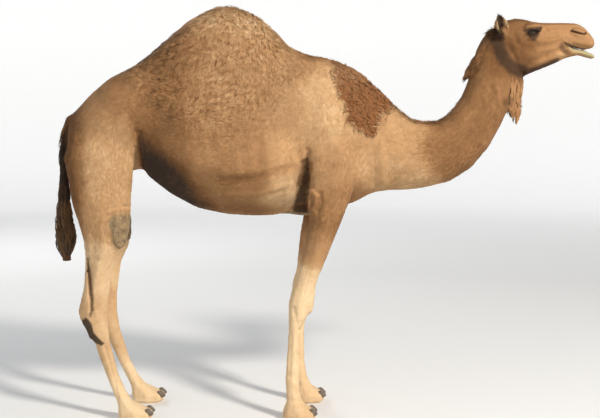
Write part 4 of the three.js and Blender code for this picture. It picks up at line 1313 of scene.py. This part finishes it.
count = 1100
on_crest = between(skin_facing[:, 2], 0.45, 0.75) * (x > 0.12) * (x < 0.90) * between(-np.abs(y), -0.05, -0.02)
roots, normals = scatter(count, on_crest * (1 - on_cape) * haired, pick)
ways = lie(roots, normals, 0.3, pick)
lengths = 0.026 * pick.uniform(0.6, 1.4, count)
rises = 0.008 * pick.uniform(0.5, 1.5, count)
tufts = locks(roots, normals, ways, lengths, lengths * 0.14, rises, lengths * 0.08, 1.0, 3, pick)
fringe.append((tufts, roots, normals, pick.normal(-0.04, 0.05, count), 0.7, None))

# Hair that hangs is laid as on upright skin, so that none of it flies out sideways
UPRIGHT = (1.0, 1.0, 0.1)
count, clumps = 1000, 40
roots, normals = scatter(count, on_beard * between(skin_facing[:, 2], -0.60, -0.30), pick)
normals = unit(normals * UPRIGHT)
beard_tip = np.array([1.010, 0.0, 1.520])
to_tip = np.linalg.norm(beard_tip - roots, axis=1)
low = between(-roots[:, 2], -1.72, -1.62)[:, None]
swept = lie(roots, normals, 0.15, pick) * (1 - low) + unit(beard_tip - roots) * low
ways = unit(swept + np.array([0.0, 0.0, -0.3]))
lengths = np.minimum(0.045 * pick.uniform(0.6, 1.4, count), to_tip * 0.95)
lengths *= between(to_tip, 0.012, 0.030)
kept = lengths > 0.006
roots, normals, ways, lengths = roots[kept], normals[kept], ways[kept], lengths[kept]
ways, own = gather(roots, ways, lengths, clumps, 1.0, pick)
rises = 0.004 * pick.uniform(0.7, 1.3, clumps)[own]
widths = 0.004 + lengths * 0.10
tufts = locks(roots, normals, ways, lengths, widths, rises, lengths * 0.02, 0.4, 5, pick, bow=0.7)
fringe.append((tufts, roots, normals, pick.normal(0.13, 0.03, clumps)[own], 0.90, None))

count = 180
for side in (-1, 1):
    local, axes = on_the_ear(skin_middle, side)
    on_rim = (np.linalg.norm(local[:, :2], axis=1) < 0.050) * between(local[:, 2], 0.015, 0.03)
    on_rim = on_rim * (local[:, 2] < 0.12) * between(np.abs(local[:, 1]), 0.018, 0.026)
    roots, normals = scatter(count, on_rim, pick)
    ways = unit(axes @ np.array([0.5, 0.0, 0.75]) + pick.normal(0, 0.15, (count, 3)))
    lengths = 0.007 * pick.uniform(0.6, 1.4, count)
    tufts = locks(roots, normals, ways, lengths, lengths * 0.10, lengths * 0.2, lengths * 0.05, 0.5, 3, pick)
    fringe.append((tufts, roots, normals, pick.normal(0.18, 0.05, count), 0.8, None))
coat_piece("fringes", "coat", 0.60, *fringe)

# ---------------------------------------------------------------- the lashes
# Long dark lashes keep sand out of the eyes: two close rows on the upper lid and a short one on the
# lower. Each lash is a thin bent lock rooted on the edge of its lid.
LASH_RADIUS = 0.0243
LASH_TURNS = np.concatenate([
    np.linspace(0.02, 0.93, 64), np.linspace(0.03, 0.90, 50),  # upper lid
    np.linspace(1.12, 1.85, 22),                               # lower lid
]) * math.pi
lower = LASH_TURNS > math.pi
edge = np.array([lid_edge(turn) for turn in LASH_TURNS])
depth = np.sqrt(LASH_RADIUS**2 - edge[:, 0] ** 2 - edge[:, 1] ** 2)
count = len(LASH_TURNS)
none = np.zeros(count)
upright = np.stack([none, none, np.where(lower, -1.0, 1.0)], axis=1)
lash_sets = []
for side in (-1, 1):
    centre = EYE_PLACE * (1, side, 1)
    roots = centre + np.stack([edge[:, 0], depth * side, edge[:, 1]], axis=1)
    normals = unit(roots - centre)
    out = np.array([0.25, side * 1.0, -0.45]) + np.stack([edge[:, 0] * 25, none, np.where(lower, 0.1, 0.0)], axis=1)
    ways = unit(out + pick.normal(0, 0.12, (count, 3)))
    lengths = np.where(lower, 0.009, 0.026) * pick.uniform(0.75, 1.15, count)
    widths = np.full(count, 0.0010)
    tufts = locks(roots, upright, ways, lengths, widths, lengths * 0.10, lengths * 0.02, 0.3, 5, pick, flat=1.0)
    lash_sets.append((tufts, roots, normals, none, 0.9, (0.02, 0.0, 0.8)))
coat_piece("lashes", "hair", 0.0, *lash_sets)

# ---------------------------------------------------------------- the tail
# A thin tail hangs against the thighs. Dark wavy locks are rooted all down it, and from its lower part
# longer ones spread and then draw together in the point of the tassel.
pick = np.random.default_rng(61)
tail_sets = []
count, clumps = 1500, 60
roots, normals = scatter(count, on_tail * (z > 1.12), pick)
ways = unit(np.array([-0.02, 0.0, -1.0]) + pick.normal(0, 0.05, (count, 3)))
lengths = 0.085 * pick.uniform(0.7, 1.4, count)
ways, own = gather(roots, ways, lengths, clumps, 0.5, pick)
swell = np.clip(np.sin((roots[:, 2] - 1.155) * 2 * math.pi / 0.20), 0, 1)
rises = 0.003 + 0.006 * swell * pick.uniform(0.5, 1.3, clumps)[own]
tufts = locks(roots, normals, ways, lengths, lengths * 0.075, rises, lengths * 0.04, 0.9, 5, pick, bow=0.9)
black = between(-roots[:, 2], -1.57, -1.47)
forced = (0.40 - 0.38 * black, 0.0, 0.35 * black)
tail_sets.append((tufts, roots, normals, pick.normal(0.0, 0.04, clumps)[own], 0.6, forced))

count, clumps = 1700, 70
on_tassel = (on_tail > 0.5) * (z < 1.22) * (z > 0.84) * between(skin_facing[:, 2], -0.80, -0.50)
roots, normals = scatter(count, on_tassel, pick)
normals = unit(normals * UPRIGHT)
tassel_tip = np.array([-1.350, 0.0, 0.800])
ways = unit(unit(tassel_tip - roots) + pick.normal(0, 0.04, (count, 3)))
lengths = 0.17 * pick.uniform(0.6, 1.3, count)
lengths = np.minimum(lengths, np.linalg.norm(tassel_tip - roots, axis=1) * pick.uniform(0.85, 1.0, count))
ways, own = gather(roots, ways, lengths, clumps, 0.5, pick)
normals = unit(normals - ways * (normals * ways).sum(1, keepdims=True))
rises = 0.026 * between(roots[:, 2], 0.88, 1.02) * between(-roots[:, 2], -1.20, -1.10)
rises = rises * pick.uniform(0.4, 1.2, clumps)[own] + 0.002
widths = 0.004 + lengths * 0.045
tufts = locks(roots, normals, ways, lengths, widths, rises, lengths * 0.05, 1.2, 7, pick, flat=0.6, bow=1.0)
tail_sets.append((tufts, roots, normals, pick.normal(0.0, 0.06, clumps)[own], 0.5, (0.11, 0.07, 0.08)))
coat_piece("tail_hair", "hair", 0.35, *tail_sets)

# ---------------------------------------------------------------- floor, light and camera
# A plain pale floor that turns up all round into a glowing backdrop. A strong soft light stands at the
# front right, a dim one at the front left and a cool one behind. The camera looks a little down.
FLOOR_RADIUS, BEND_RADIUS, BOWL_HEIGHT = 12.0, 3.0, 7.5
bowl = bmesh.new()
line = []
for turn in range(0, 91, 6):
    sine, cosine = math.sin(math.radians(turn)), math.cos(math.radians(turn))
    line.append(bowl.verts.new((FLOOR_RADIUS + BEND_RADIUS * sine, 0, BEND_RADIUS - BEND_RADIUS * cosine)))
line.append(bowl.verts.new((FLOOR_RADIUS + BEND_RADIUS, 0, BOWL_HEIGHT)))
edges = [bowl.edges.new(pair) for pair in zip(line, line[1:])]
bmesh.ops.spin(bowl, geom=line + edges, cent=(0, 0, 0), axis=(0, 0, 1), angle=2 * math.pi, steps=72, use_merge=True)
floor_rim = [edge for edge in bowl.edges if edge.is_boundary and edge.verts[0].co.z < 0.001]
bmesh.ops.contextual_create(bowl, geom=floor_rim)
bmesh.ops.recalc_face_normals(bowl, faces=bowl.faces)
if next(face for face in bowl.faces if len(face.verts) > 4).normal.z < 0:
    bmesh.ops.reverse_faces(bowl, faces=bowl.faces)
for face in bowl.faces:
    face.smooth = len(face.verts) == 4
floor_mesh = cast(bowl, "floor")
floor_object = put_in_scene("floor", floor_mesh)
paper, tree, surface = new_look("pale_floor", Base_Color=(0.78, 0.77, 0.75, 1), Roughness=0.95,
                                Emission_Color=(0.96, 0.98, 1.0, 1))
where = node(tree, "ShaderNodeTexCoord")
flat_place = node(tree, "ShaderNodeVectorMath", [(0, where.outputs["Object"])],
                  operation="MULTIPLY", in_1=(1.0, 1.0, 0.0))
from_middle = node(tree, "ShaderNodeVectorMath", [(0, flat_place.outputs[0])], operation="LENGTH").outputs["Value"]
# painted light: the floor glows, from nothing 5 m out to most at the backdrop
glow = node(tree, "ShaderNodeMapRange", [("Value", from_middle)], in_1=5.0, in_2=14.0, in_3=0.0, in_4=0.40)
tree.links.new(glow.outputs[0], surface.inputs["Emission Strength"])
floor_mesh.materials.append(paper)


def soft_light(name, place, aim, size, power, colour):
    """A round soft light turned towards its aim."""
    lamp = bpy.data.lights.new(name, "AREA")
    lamp.shape = "DISK"
    lamp.size = size
    lamp.energy = power
    lamp.color = colour
    light = bpy.data.objects.new(name, lamp)
    light.location = place
    light.rotation_euler = (Vector(aim) - Vector(place)).to_track_quat("-Z", "Y").to_euler()
    bpy.context.scene.collection.objects.link(light)


soft_light("key_light", (4.9, -6.0, 6.8), (0.0, 0.0, 1.2), 1.4, 945, (1.0, 0.95, 0.88))
soft_light("fill_light", (-5.5, -5.0, 3.5), (0.0, 0.0, 1.0), 4.0, 42, (0.92, 0.96, 1.0))
soft_light("far_light", (-4.0, 7.0, 5.5), (0.0, 0.0, 1.2), 3.0, 260, (0.95, 0.97, 1.0))
world = bpy.data.worlds.new("studio")
world.use_nodes = True
sky = world.node_tree.nodes["Background"]
sky.inputs["Color"].default_value = (0.86, 0.92, 1.0, 1)
sky.inputs["Strength"].default_value = 0.28
bpy.context.scene.world = world

camera_data = bpy.data.cameras.new("camera")
camera_data.sensor_width = 36.0
camera_data.lens = 68.7
camera = bpy.data.objects.new("camera", camera_data)
camera.location = (-0.1134, -6.0, 1.637)
camera.rotation_euler = (math.radians(90 - 5.328), 0, 0)
bpy.context.scene.collection.objects.link(camera)
bpy.context.scene.camera = camera
bpy.context.scene.view_settings.view_transform = "Standard"
